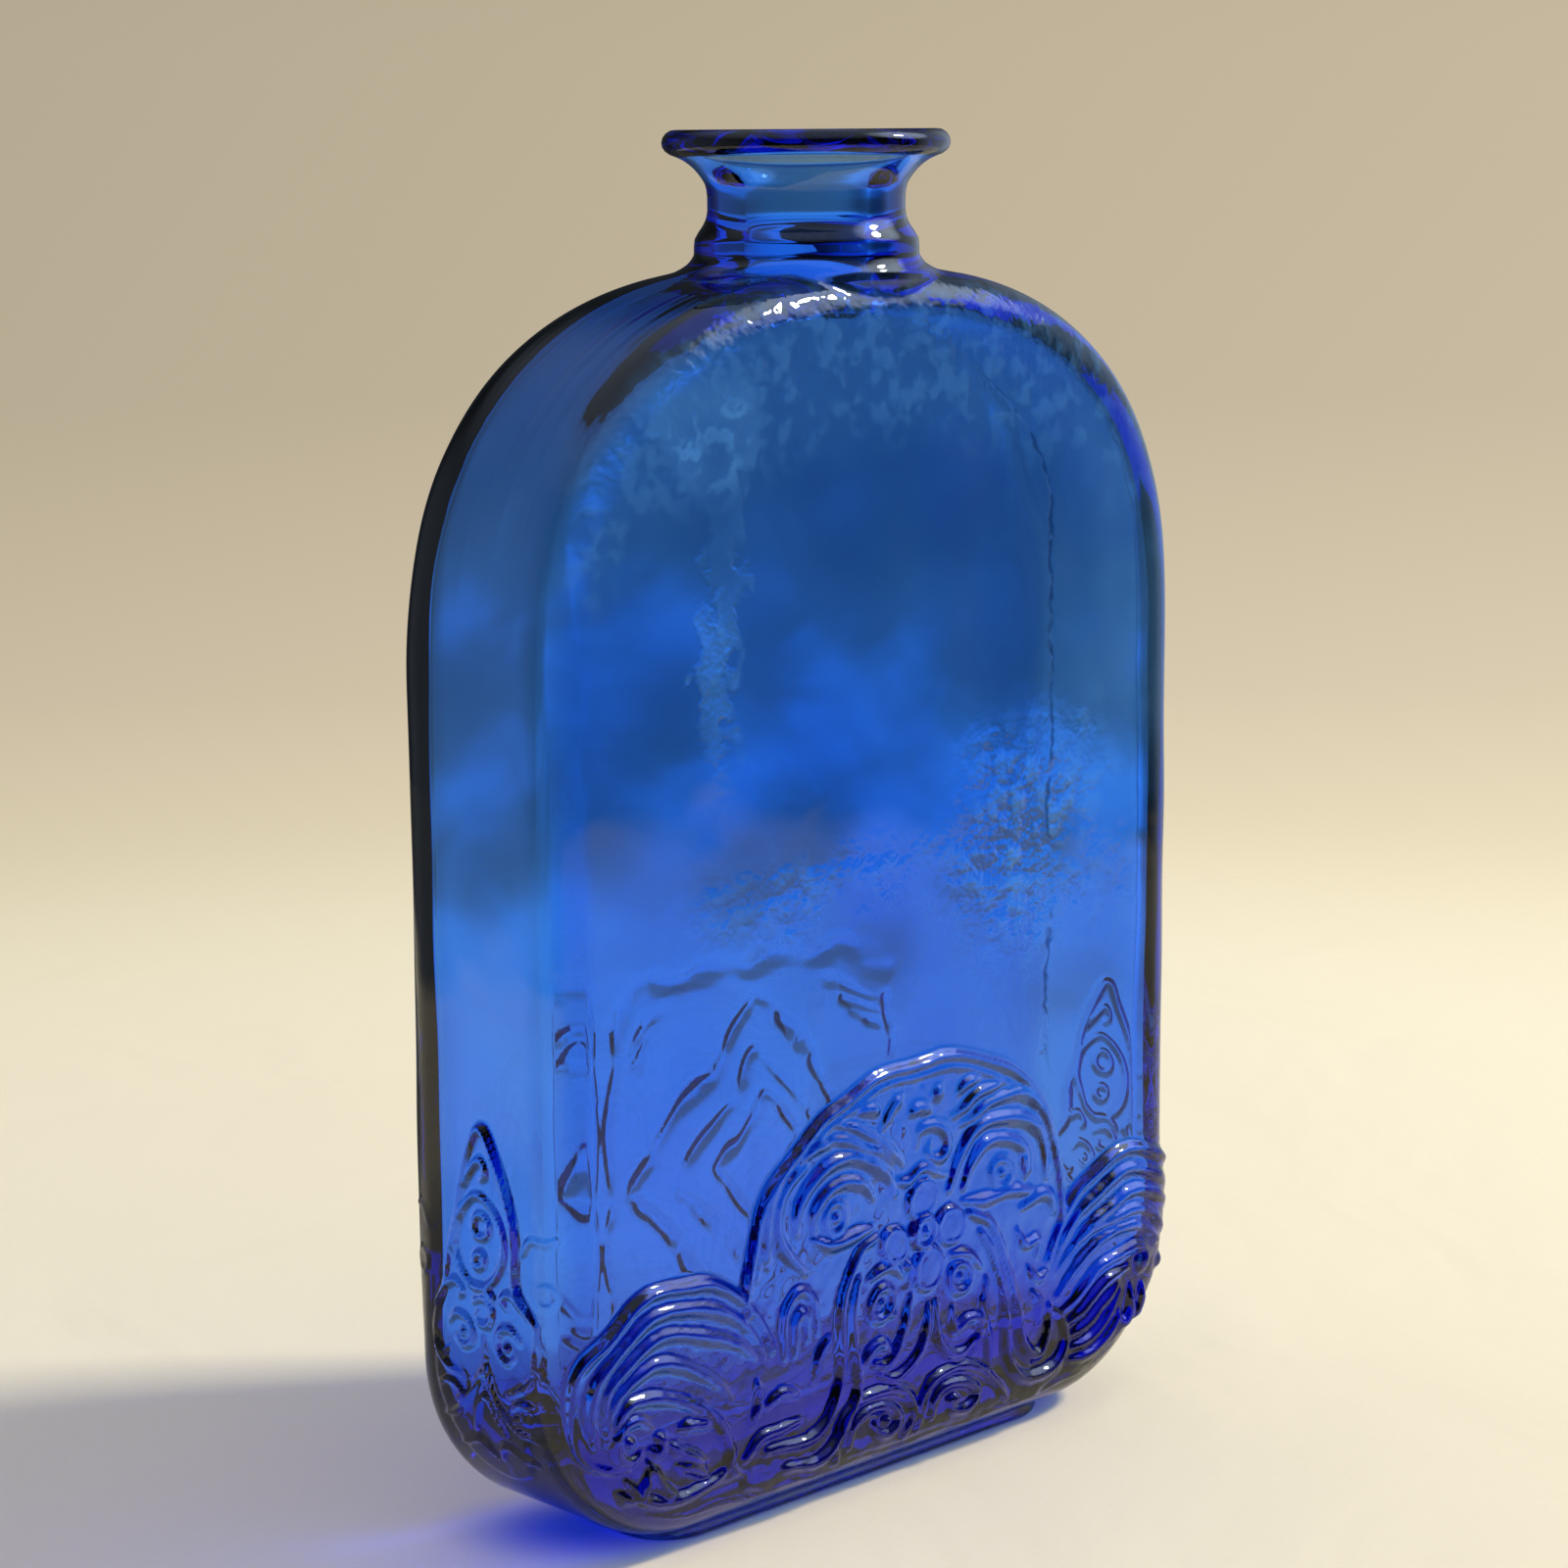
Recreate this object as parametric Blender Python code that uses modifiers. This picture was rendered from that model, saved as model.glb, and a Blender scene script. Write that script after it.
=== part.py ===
"""A flat shouldered bottle of cobalt blue glass with raised scrollwork, in metres.

The origin is at the middle of the foot, where the bottle stands. Z is up. The main
face looks along -Y and the narrow sides along -X and +X. The vessel is one watertight
shell of glass with a hole in its top. The neck, the lip ring, the foot rim and the raised
ribs are modelled as pieces of their own that lie a seating gap away from each other.
"""

import math

import bmesh
import bpy
from mathutils import Matrix

# The body: a slab of glass with an arched top and round lower corners
BODY_WIDTH = 0.128
BODY_DEPTH = 0.034
BODY_BOTTOM_Z = 0.0024
SPRING_Z = 0.1205
SHOULDER_RISE = 0.0563
SHOULDER_FULLNESS = 2.5
LOWER_CORNER_RADIUS = 0.026
EDGE_RADIUS = 0.0068
WALL = 0.0034
BASE_THICKNESS = 0.0052

# The neck, turned about the Z axis; its heights are counted from the top of the body
NECK_RADIUS = 0.0140
NECK_WAIST_RISE = 0.0088
NECK_RING_RADIUS = 0.0159
NECK_RING_RISE = 0.0027
NECK_ROOT_INSET = 0.0007
NECK_ROOT_SINK = 0.0048
BORE_RADIUS = 0.0108
BORE_FLARE_RISE = 0.0100

# The lip: the flare ends in a round bead
LIP_SEAT_RISE = 0.0137
LIP_RADIUS = 0.0204
BEAD_RADIUS = 0.0021
BEAD_RISE = 0.0170
BEAD_START_DEGREES = -105.0
FLARE_POWER = 2.2

# The foot: a rim that follows the edge of the underside
FOOT_LENGTH = 0.084
FOOT_DEPTH = 0.0235
FOOT_CORNER_RADIUS = 0.0085
FOOT_RIM_WIDTH = 0.0034
FOOT_RIM_GRIP = 0.0034

# Every piece lies this far from the glass that carries it
GAP = 0.0003
WELD_SHARE = 0.01

# How far a cut runs past the wall that it opens
CUT_OVERRUN = 0.0030

# The raised ribs of the ornament
RIB_WIDTH = 0.0021
RIB_HEIGHT = 0.0012
FINE_RIB_WIDTH = 0.0015
FINE_RIB_HEIGHT = 0.0009
MEDAL_EDGE_SHARE = 0.3
TAPER_SHARES = (0.6, 1.0)
SOFT_TAPER_SHARES = (0.8, 1.0)

# The front ornament: an arch with a rosette and scrolls, standing in the middle.
# The arch's radius is a share of half the flat of the front, and its places and sizes
# are shares of that radius, from the foot of the flat.
ORNAMENT_SHIFT_SHARE = 0.052
ARCH_RADIUS_SHARE = 0.563
ARCH_CENTRE_SHARE = 0.66
ARCH_SPRING_DEGREES = 16.0
ROSETTE_PLACE_SHARES = (0, 0.91)
ROSETTE_RADIUS_SHARE = 0.186
ROSETTE_PETALS = 5
ROSETTE_NOTCH_SHARE = 0.20
BUTTON_RADIUS_SHARE = 0.053
VOLUTE_PLACE_SHARES = (0.53, 1.045)
VOLUTE_RADIUS_SHARE = 0.25
VOLUTE_EYE_SHARE = 0.044
VOLUTE_START_DEGREES = 88.0
VOLUTE_TURNS = 1.3
PLUME_PLACE_SHARES = (0, 1.19)
PLUME_START_SHARE = 0.12
PLUME_END_SHARE = 0.37
PLUME_STROKES = 5
PLUME_STEP_DEGREES = 26.0

# The stems that hang on both sides of the rosette and turn up in a hook
STEM_START_SHARES = (0.267, 0.786)
STEM_SHOULDER_SHARE = 0.224
STEM_DROP_SHARE = 0.354
STEM_HOOK_SHARE = 0.166
STEM_TIP_SHARE = 0.06

# The double scrolls that hang under the rosette
DROP_PLACE_SHARES = (0.265, 0.595)
DROP_EYE_SHARE = 0.034
DROP_COIL_SHARE = 0.104
DROP_LENGTH_SHARE = 0.14
DROP_HOOK_SHARE = 0.093
DROP_HOOK_DEGREES = 150.0
DROP_TURNS = 1.25

# The low scrolls that stand on the foot, and the small hooks beside the stems
HUMP_PLACE_SHARES = (0.245, 0.037)
HUMP_RADIUS_SHARE = 0.19
CURL_PLACE_SHARES = (0.245, 0.09)
CURL_START_SHARE = 0.03
CURL_END_SHARE = 0.06
CURL_TURNS = 0.75
TENDRIL_PLACE_SHARES = (0.69, 0.61)
TENDRIL_RADIUS_SHARE = 0.07
TENDRIL_LEG_SHARE = 0.19

# The breaking waves between the arch and the lower corners of the front
WAVE_HEIGHT_SHARE = 0.51
WAVE_BASE_SHARE = 0.85
WAVE_RIBS = 4
WAVE_STEP_SHARE = 0.25
WAVE_END_DEGREES = -14.0
WAVE_CLEARANCE = 0.0012
SHELL_PLACE_SHARES = (0.12, -0.42)
SHELL_RADIUS_SHARE = 0.30
SHELL_LOBES = 7
SHELL_NOTCH_SHARE = 0.18

# The pointed panels on the narrow sides: heights are shares of the panel's height,
# widths are shares of half the flat of the side.
SPIRE_HEIGHT = 0.0548
SPIRE_BASE_SHARE = 0.56
SPIRE_WIDTH_SHARE = 0.78
SPIRE_POWER = 1.6
OVAL_PLACE_SHARE = 0.70
OVAL_WIDTH_SHARE = 0.28
OVAL_HEIGHT_SHARE = 0.078
SEED_RADIUS_SHARE = 0.12
SIDE_VOLUTE_SHARES = (0.48, 0.425)
SIDE_VOLUTE_RADIUS_SHARE = 0.35
SIDE_VOLUTE_EYE_SHARE = 0.10
SIDE_VOLUTE_TURNS = 1.25
CHEVRON_TOP_SHARE = 0.30
CHEVRON_FOOT_SHARE = 0.12
CHEVRON_WIDTH_SHARE = 0.50
CHEVRON_STEPS = 4

# The framed panel of nested lozenges on the back
PANEL_WIDTH = 0.057
PANEL_HEIGHT = 0.0605
PANEL_FOOT_Z = 0.0130
PANEL_CORNER_SHARE = 0.35
LOZENGE_COUNT = 3
LOZENGE_SHARE = 0.84
LOZENGE_STEP_SHARE = 0.28

# How finely round shapes are divided
CORNER_STEPS = 6
ARCH_STEPS = 18
EDGE_STEPS = 3
TURN_STEPS = 40
PROFILE_STEPS = 5
RIB_STEP_DEGREES = 24.0
RIB_PROFILE_SIDES = 4

GLASS_COLOUR = (0.012, 0.085, 0.50, 1.0)
RELIEF_COLOUR = (0.010, 0.055, 0.42, 1.0)
LIP_COLOUR = (0.006, 0.040, 0.36, 1.0)
GLASS_ROUGHNESS = 0.03
GLASS_IOR = 1.5

HALF_WIDTH = BODY_WIDTH / 2
HALF_DEPTH = BODY_DEPTH / 2
BODY_TOP_Z = SPRING_Z + SHOULDER_RISE
NECK_ROOT_Z = BODY_TOP_Z - NECK_ROOT_SINK
NECK_ROOT_RADIUS = HALF_DEPTH - NECK_ROOT_INSET
NECK_RING_Z = BODY_TOP_Z + NECK_RING_RISE
NECK_WAIST_Z = BODY_TOP_Z + NECK_WAIST_RISE
BORE_FLARE_Z = BODY_TOP_Z + BORE_FLARE_RISE
LIP_SEAT_Z = BODY_TOP_Z + LIP_SEAT_RISE
BEAD_Z = BODY_TOP_Z + BEAD_RISE
FLAT_HALF_WIDTH = HALF_WIDTH - EDGE_RADIUS
ORNAMENT_SHIFT = FLAT_HALF_WIDTH * ORNAMENT_SHIFT_SHARE
ARCH_RADIUS = FLAT_HALF_WIDTH * ARCH_RADIUS_SHARE
WAVE_HEIGHT = ARCH_RADIUS * WAVE_HEIGHT_SHARE
ORNAMENT_BASE_Z = BODY_BOTTOM_Z + EDGE_RADIUS
SIDE_FLAT_HALF = HALF_DEPTH - EDGE_RADIUS
UPRIGHT = Matrix.Rotation(math.radians(90), 4, "X")


def clear_scene():
    for obj in list(bpy.data.objects):
        bpy.data.objects.remove(obj, do_unlink=True)


def new_collection(name):
    collection = bpy.data.collections.new(name)
    bpy.context.scene.collection.children.link(collection)
    return collection


def glass(name, colour):
    material = bpy.data.materials.new(name)
    material.use_nodes = True
    shader = material.node_tree.nodes["Principled BSDF"]
    shader.inputs["Base Color"].default_value = colour
    shader.inputs["Roughness"].default_value = GLASS_ROUGHNESS
    shader.inputs["Metallic"].default_value = 0.0
    shader.inputs["IOR"].default_value = GLASS_IOR
    shader.inputs["Transmission Weight"].default_value = 1.0
    material.diffuse_color = colour
    return material


# Points and paths


def arc(centre, radius, start, end, steps):
    """Points on a circle from one angle to another, in degrees."""
    points = []
    for step in range(steps + 1):
        angle = math.radians(start + (end - start) * step / steps)
        points.append((centre[0] + radius * math.cos(angle), centre[1] + radius * math.sin(angle)))
    return points


def arc_steps(degrees):
    return max(2, math.ceil(abs(degrees) / RIB_STEP_DEGREES))


def spiral(centre, inner, outer, start, turns):
    """Points on a spiral whose radius grows by the same factor in every turn."""
    steps = arc_steps(360 * turns)
    points = []
    for step in range(steps + 1):
        share = step / steps
        radius = inner * (outer / inner) ** share
        angle = math.radians(start + 360 * turns * share)
        points.append((centre[0] + radius * math.cos(angle), centre[1] + radius * math.sin(angle)))
    return points


def walk(start, heading, moves):
    """Points along a chain of straight runs and arcs.

    A move is (length, 0) for a run, or (radius, degrees) for an arc, where positive
    degrees turn left.
    """
    points = [start]
    for size, degrees in moves:
        x, z = points[-1]
        angle = math.radians(heading)
        if degrees == 0:
            points.append((x + size * math.cos(angle), z + size * math.sin(angle)))
            continue
        side = math.copysign(90, degrees)
        to_centre = math.radians(heading + side)
        centre = (x + size * math.cos(to_centre), z + size * math.sin(to_centre))
        first = heading - side
        points += arc(centre, size, first, first + degrees, arc_steps(degrees))[1:]
        heading += degrees
    return points


def mirrored(points):
    return [(-x, z) for x, z in points]


def body_outline(inset, bottom_inset):
    """The closed outline of the body seen from the front, drawn in by a wall."""
    corner = LOWER_CORNER_RADIUS - inset
    corner_x = HALF_WIDTH - LOWER_CORNER_RADIUS
    corner_z = BODY_BOTTOM_Z + bottom_inset + corner
    right = arc((corner_x, corner_z), corner, -90, 0, CORNER_STEPS)
    width = HALF_WIDTH - inset
    rise = SHOULDER_RISE - inset
    power = 2 / SHOULDER_FULLNESS
    for step in range(ARCH_STEPS):
        angle = math.radians(90 * step / ARCH_STEPS)
        x = width * math.cos(angle) ** power
        right.append((x, SPRING_Z + rise * math.sin(angle) ** power))
    left = [(-x, z) for x, z in reversed(right)]
    return right + [(0, SPRING_Z + rise)] + left


def foot_outline(inset):
    radius = FOOT_CORNER_RADIUS - inset
    x = FOOT_LENGTH / 2 - FOOT_CORNER_RADIUS
    y = FOOT_DEPTH / 2 - FOOT_CORNER_RADIUS
    points = []
    for centre, start in (((x, y), 0), ((-x, y), 90), ((-x, -y), 180), ((x, -y), 270)):
        points += arc(centre, radius, start, start + 90, CORNER_STEPS)
    return points


# Solids


def add_object(name, data, collection, matrix, material=None):
    obj = bpy.data.objects.new(name, data)
    collection.objects.link(obj)
    obj.matrix_world = matrix
    if material:
        data.materials.append(material)
    return obj


def curve_data(name, outlines, cyclic, dimensions="2D"):
    """A curve of straight pieces through the points of each outline."""
    data = bpy.data.curves.new(name, "CURVE")
    data.dimensions = dimensions
    for outline in outlines:
        spline = data.splines.new("POLY")
        spline.points.add(len(outline) - 1)
        for point, (x, y) in zip(spline.points, outline):
            point.co = (x, y, 0, 1)
        spline.use_cyclic_u = cyclic
    return data


def mesh_from(obj):
    """The object's evaluated shape as a welded mesh; the object is removed."""
    bpy.context.view_layer.update()
    graph = bpy.context.evaluated_depsgraph_get()
    mesh = bpy.data.meshes.new_from_object(obj.evaluated_get(graph))
    mesh.name = obj.name
    shape = bmesh.new()
    shape.from_mesh(mesh)
    bmesh.ops.remove_doubles(shape, verts=shape.verts, dist=GAP * WELD_SHARE)
    bmesh.ops.recalc_face_normals(shape, faces=shape.faces)
    shape.to_mesh(mesh)
    shape.free()
    bpy.data.objects.remove(obj, do_unlink=True)
    return mesh


def slab(name, outlines, thickness, edge, collection, matrix, material=None):
    """A flat outline with thickness, its rims rounded by the edge radius."""
    data = curve_data(name, outlines, cyclic=True)
    data.fill_mode = "BOTH"
    data.extrude = thickness / 2 - edge
    data.bevel_depth = edge
    data.bevel_resolution = EDGE_STEPS
    data.offset = -edge
    curve = add_object(name, data, collection, matrix)
    mesh = mesh_from(curve)
    return add_object(name, mesh, collection, matrix, material)


def turned(name, profile, collection, material=None):
    """A closed profile of (radius, z) points, up its outer side, turned about Z."""
    mesh = bpy.data.meshes.new(name)
    shape = bmesh.new()
    corners = [shape.verts.new((radius, 0, z)) for radius, z in reversed(profile)]
    for first, second in zip(corners, corners[1:] + corners[:1]):
        if first.co.x > 0 or second.co.x > 0:
            shape.edges.new((first, second))
    shape.to_mesh(mesh)
    shape.free()
    obj = add_object(name, mesh, collection, Matrix.Identity(4), material)
    screw = obj.modifiers.new("turn", "SCREW")
    screw.steps = TURN_STEPS
    screw.render_steps = TURN_STEPS
    screw.use_merge_vertices = True
    screw.merge_threshold = GAP * WELD_SHARE
    return obj


def boolean(obj, operation, cutter):
    modifier = obj.modifiers.new(operation.lower() + "_" + cutter.name, "BOOLEAN")
    modifier.operation = operation
    modifier.object = cutter
    modifier.solver = "EXACT"


def hide_cutter(cutter):
    cutter.hide_render = True
    cutter.display_type = "WIRE"
    return cutter


def smooth(obj):
    obj.data.shade_smooth()


# The vessel


def flare_radius(z):
    share = (z - NECK_WAIST_Z) / (BEAD_Z - NECK_WAIST_Z)
    return NECK_RADIUS + (LIP_RADIUS - NECK_RADIUS) * max(0, share) ** FLARE_POWER


def bore_radius(z):
    """The bore opens towards the lip, ending at the inner side of the bead."""
    share = (z - BORE_FLARE_Z) / (BEAD_Z - BORE_FLARE_Z)
    mouth = LIP_RADIUS - 2 * BEAD_RADIUS
    return BORE_RADIUS + (mouth - BORE_RADIUS) * max(0, share) ** FLARE_POWER


def eased(first, second, steps):
    """Points from one (radius, z) to another that leave and arrive upright."""
    points = []
    for step in range(1, steps + 1):
        share = step / steps
        blend = share * share * (3 - 2 * share)
        radius = first[0] + (second[0] - first[0]) * blend
        points.append((radius, first[1] + (second[1] - first[1]) * share))
    return points


def levels(low, high, steps):
    return [low + (high - low) * step / steps for step in range(1, steps + 1)]


def collar_profile():
    """The lower half of the neck, with the ring at its root."""
    root = (NECK_ROOT_RADIUS, NECK_ROOT_Z)
    ring = (NECK_RING_RADIUS, NECK_RING_Z)
    waist = (NECK_RADIUS, NECK_WAIST_Z)
    outer = [root] + eased(root, ring, PROFILE_STEPS) + eased(ring, waist, PROFILE_STEPS)
    return outer + [(BORE_RADIUS, NECK_WAIST_Z), (BORE_RADIUS, NECK_ROOT_Z)]


def throat_profile():
    """The upper half of the neck, which flares towards the lip."""
    seat = NECK_WAIST_Z + GAP
    outer = [(flare_radius(z), z) for z in [seat] + levels(seat, LIP_SEAT_Z, PROFILE_STEPS)]
    inner = [(bore_radius(z), z) for z in levels(BORE_FLARE_Z, LIP_SEAT_Z, PROFILE_STEPS)]
    inner = [(BORE_RADIUS, seat), (BORE_RADIUS, BORE_FLARE_Z)] + inner
    return outer + inner[::-1]


def hole_profile():
    """The hole in the top of the body, under the neck."""
    bottom = BODY_TOP_Z - WALL - CUT_OVERRUN
    top = BODY_TOP_Z + CUT_OVERRUN
    return [(0, bottom), (BORE_RADIUS, bottom), (BORE_RADIUS, top), (0, top)]


def cavity(collection):
    outline = body_outline(WALL, BASE_THICKNESS)
    depth = BODY_DEPTH - 2 * WALL
    edge = EDGE_RADIUS - WALL
    return hide_cutter(slab("cavity", [outline], depth, edge, collection, UPRIGHT))


def body_blank(name, grow, collection):
    """The solid body, larger all round by the amount given."""
    outline = body_outline(-grow, -grow)
    return slab(name, [outline], BODY_DEPTH + 2 * grow, EDGE_RADIUS + grow, collection, UPRIGHT)


def make_vessel(parts, cutters):
    vessel = body_blank("glass_vessel", 0, parts)
    vessel.data.materials.append(glass("vessel_glass", GLASS_COLOUR))
    boolean(vessel, "DIFFERENCE", cavity(cutters))
    boolean(vessel, "DIFFERENCE", hide_cutter(turned("mouth_hole", hole_profile(), cutters)))
    smooth(vessel)


def make_neck(parts, clearance):
    """The turned neck in two rings, the lower one cut to follow the body a gap away."""
    material = glass("neck_glass", GLASS_COLOUR)
    neck = turned("neck", collar_profile(), parts, material)
    boolean(neck, "DIFFERENCE", clearance)
    smooth(neck)
    smooth(turned("neck_throat", throat_profile(), parts, material))


def make_lip(parts):
    """The top of the flare and its round bead, a gap over the neck."""
    seat = LIP_SEAT_Z + GAP
    centre = (LIP_RADIUS - BEAD_RADIUS, BEAD_Z)
    bead = arc(centre, BEAD_RADIUS, BEAD_START_DEGREES, 180, arc_steps(360))
    outer = [(flare_radius(z), z) for z in levels(seat, bead[0][1], 3)[:-1]]
    inner = [(bore_radius(z), z) for z in reversed(levels(seat, BEAD_Z, PROFILE_STEPS)[:-1])]
    profile = [(flare_radius(seat), seat)] + outer + bead + inner + [(bore_radius(seat), seat)]
    smooth(turned("lip_ring", profile, parts, glass("lip_glass", LIP_COLOUR)))


def make_foot(parts, clearance):
    """A rim under the body, cut to follow its underside a gap away."""
    top = BODY_BOTTOM_Z + FOOT_RIM_GRIP
    place = Matrix.Translation((0, 0, top / 2))
    outlines = [foot_outline(0), foot_outline(FOOT_RIM_WIDTH)]
    foot = slab("foot_rim", outlines, top, 0, parts, place, glass("foot_glass", GLASS_COLOUR))
    boolean(foot, "DIFFERENCE", clearance)


# The raised ornament


def rib_profile(name, width, height, collection):
    """The half-round section of a rib, its flat side down."""
    points = []
    for step in range(RIB_PROFILE_SIDES + 1):
        angle = math.pi * step / RIB_PROFILE_SIDES
        points.append((width / 2 * math.cos(angle), height * math.sin(angle)))
    profile = add_object(name, curve_data(name, [points], True), collection, Matrix.Identity(4))
    return hide_cutter(profile)


def flat_drop(z):
    return 0


def corner_drop(z):
    """How far the narrow side draws in at a height, along the round lower corner."""
    below = max(0, BODY_BOTTOM_Z + LOWER_CORNER_RADIUS - z)
    return LOWER_CORNER_RADIUS - math.sqrt(LOWER_CORNER_RADIUS ** 2 - below ** 2)


class Face:
    """A side of the vessel: it sets ribs and medals a gap away from the glass."""

    def __init__(self, prefix, turn_degrees, distance, shift, drop, parts, sections):
        self.prefix = prefix
        self.drop = drop
        self.parts = parts
        self.sections = sections
        turn = Matrix.Rotation(math.radians(turn_degrees), 4, "Z")
        seat = Matrix.Translation((shift, -(distance + GAP), 0))
        self.matrix = turn @ seat @ UPRIGHT

    def rib(self, name, points, section="rib", cyclic=False, widths=None):
        name = self.prefix + "_" + name
        data = curve_data(name, [points], cyclic)
        data.bevel_mode = "OBJECT"
        data.bevel_object = self.sections[section]
        data.use_fill_caps = not cyclic
        data.fill_mode = "NONE"
        if widths:
            last = len(points) - 1
            for step, point in enumerate(data.splines[0].points):
                point.radius = widths[0] + (widths[1] - widths[0]) * step / last
        mesh = mesh_from(add_object(name, data, self.parts, self.matrix))
        for vertex in mesh.vertices:
            vertex.co.z -= self.drop(vertex.co.y)
        material = glass(name + "_glass", RELIEF_COLOUR)
        smooth(add_object(name, mesh, self.parts, self.matrix, material))

    def pair(self, name, points, section="rib", widths=None):
        """A rib and its mirror image, on the left and the right of the face."""
        self.rib(name + "_right", points, section, widths=widths)
        self.rib(name + "_left", mirrored(points), section, widths=widths)

    def medal(self, name, outline, height, lift=0):
        """A flat outline with one height, its edge rounded."""
        name = self.prefix + "_" + name
        edge = height * MEDAL_EDGE_SHARE
        place = self.matrix @ Matrix.Translation((0, 0, lift + height / 2))
        material = glass(name + "_glass", RELIEF_COLOUR)
        slab(name, [outline], height, edge, self.parts, place, material)


def on_front(shares):
    """A place on the front ornament, from its shares of the arch's radius."""
    return (ARCH_RADIUS * shares[0], ORNAMENT_BASE_Z + ARCH_RADIUS * shares[1])


def on_side(shares):
    """A place on a side panel, from its shares of the half width and the height."""
    return (SIDE_FLAT_HALF * shares[0], ORNAMENT_BASE_Z + SPIRE_HEIGHT * shares[1])


def lobed(centre, radius, lobes, notch_share):
    """A round outline with lobes, such as petals."""
    steps = lobes * PROFILE_STEPS
    points = []
    for step in range(steps):
        angle = 2 * math.pi * step / steps
        dip_share = notch_share * (1 - math.sin(lobes * angle)) / 2
        reach = radius * (1 - dip_share)
        points.append((centre[0] + reach * math.cos(angle), centre[1] + reach * math.sin(angle)))
    return points


def make_arch(face):
    start = ARCH_SPRING_DEGREES
    end = 180 - start
    centre = on_front((0, ARCH_CENTRE_SHARE))
    face.rib("arch_rim", arc(centre, ARCH_RADIUS, start, end, 2 * arc_steps(end - start)))
    middle = on_front(ROSETTE_PLACE_SHARES)
    radius = ARCH_RADIUS * ROSETTE_RADIUS_SHARE
    petals = lobed(middle, radius, ROSETTE_PETALS, ROSETTE_NOTCH_SHARE)
    face.medal("rosette", petals, RIB_HEIGHT)
    button = arc(middle, ARCH_RADIUS * BUTTON_RADIUS_SHARE, 0, 360, 2 * CORNER_STEPS)[:-1]
    face.medal("rosette_button", button, FINE_RIB_HEIGHT, RIB_HEIGHT + GAP)


def make_plume(face):
    x, z = on_front(PLUME_PLACE_SHARES)
    first = 90 - PLUME_STEP_DEGREES * (PLUME_STROKES - 1) / 2
    reach_shares = (PLUME_START_SHARE, (PLUME_START_SHARE + PLUME_END_SHARE) / 2, PLUME_END_SHARE)
    for stroke in range(PLUME_STROKES):
        angle = math.radians(first + PLUME_STEP_DEGREES * stroke)
        points = []
        for share in reach_shares:
            reach = ARCH_RADIUS * share
            points.append((x + reach * math.cos(angle), z + reach * math.sin(angle)))
        face.rib(f"plume_{stroke + 1}", points, "fine", widths=TAPER_SHARES)


def make_scrolls(face):
    radius = ARCH_RADIUS * VOLUTE_RADIUS_SHARE
    eye = ARCH_RADIUS * VOLUTE_EYE_SHARE
    start = VOLUTE_START_DEGREES
    volute = spiral(on_front(VOLUTE_PLACE_SHARES), eye, radius, start, -VOLUTE_TURNS)
    face.pair("volute", volute, widths=TAPER_SHARES)
    eye = ARCH_RADIUS * DROP_EYE_SHARE
    radius = ARCH_RADIUS * DROP_COIL_SHARE
    coil = spiral(on_front(DROP_PLACE_SHARES), eye, radius, 90, DROP_TURNS)
    hook = (ARCH_RADIUS * DROP_HOOK_SHARE, DROP_HOOK_DEGREES)
    scroll = coil + walk(coil[-1], -90, [(ARCH_RADIUS * DROP_LENGTH_SHARE, 0), hook])[1:]
    face.pair("double_scroll", scroll, "fine", widths=TAPER_SHARES)
    hump_radius = ARCH_RADIUS * HUMP_RADIUS_SHARE
    face.pair("foot_scroll", arc(on_front(HUMP_PLACE_SHARES), hump_radius, 0, 180, arc_steps(240)))
    start = ARCH_RADIUS * CURL_START_SHARE
    end = ARCH_RADIUS * CURL_END_SHARE
    curl = spiral(on_front(CURL_PLACE_SHARES), start, end, 0, CURL_TURNS)
    face.pair("foot_curl", curl, "fine", widths=TAPER_SHARES)


def make_stems(face):
    moves = [
        (ARCH_RADIUS * STEM_SHOULDER_SHARE, -90),
        (ARCH_RADIUS * STEM_DROP_SHARE, 0),
        (ARCH_RADIUS * STEM_HOOK_SHARE, 180),
        (ARCH_RADIUS * STEM_TIP_SHARE, 0),
    ]
    face.pair("stem", walk(on_front(STEM_START_SHARES), 0, moves), widths=SOFT_TAPER_SHARES)
    leg = ARCH_RADIUS * TENDRIL_LEG_SHARE
    radius = ARCH_RADIUS * TENDRIL_RADIUS_SHARE
    x, z = on_front(TENDRIL_PLACE_SHARES)
    moves = [(leg, 0), (radius, -180), (leg / 2, 0)]
    face.pair("tendril", walk((x - radius, z - leg), 90, moves), "fine")


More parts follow.
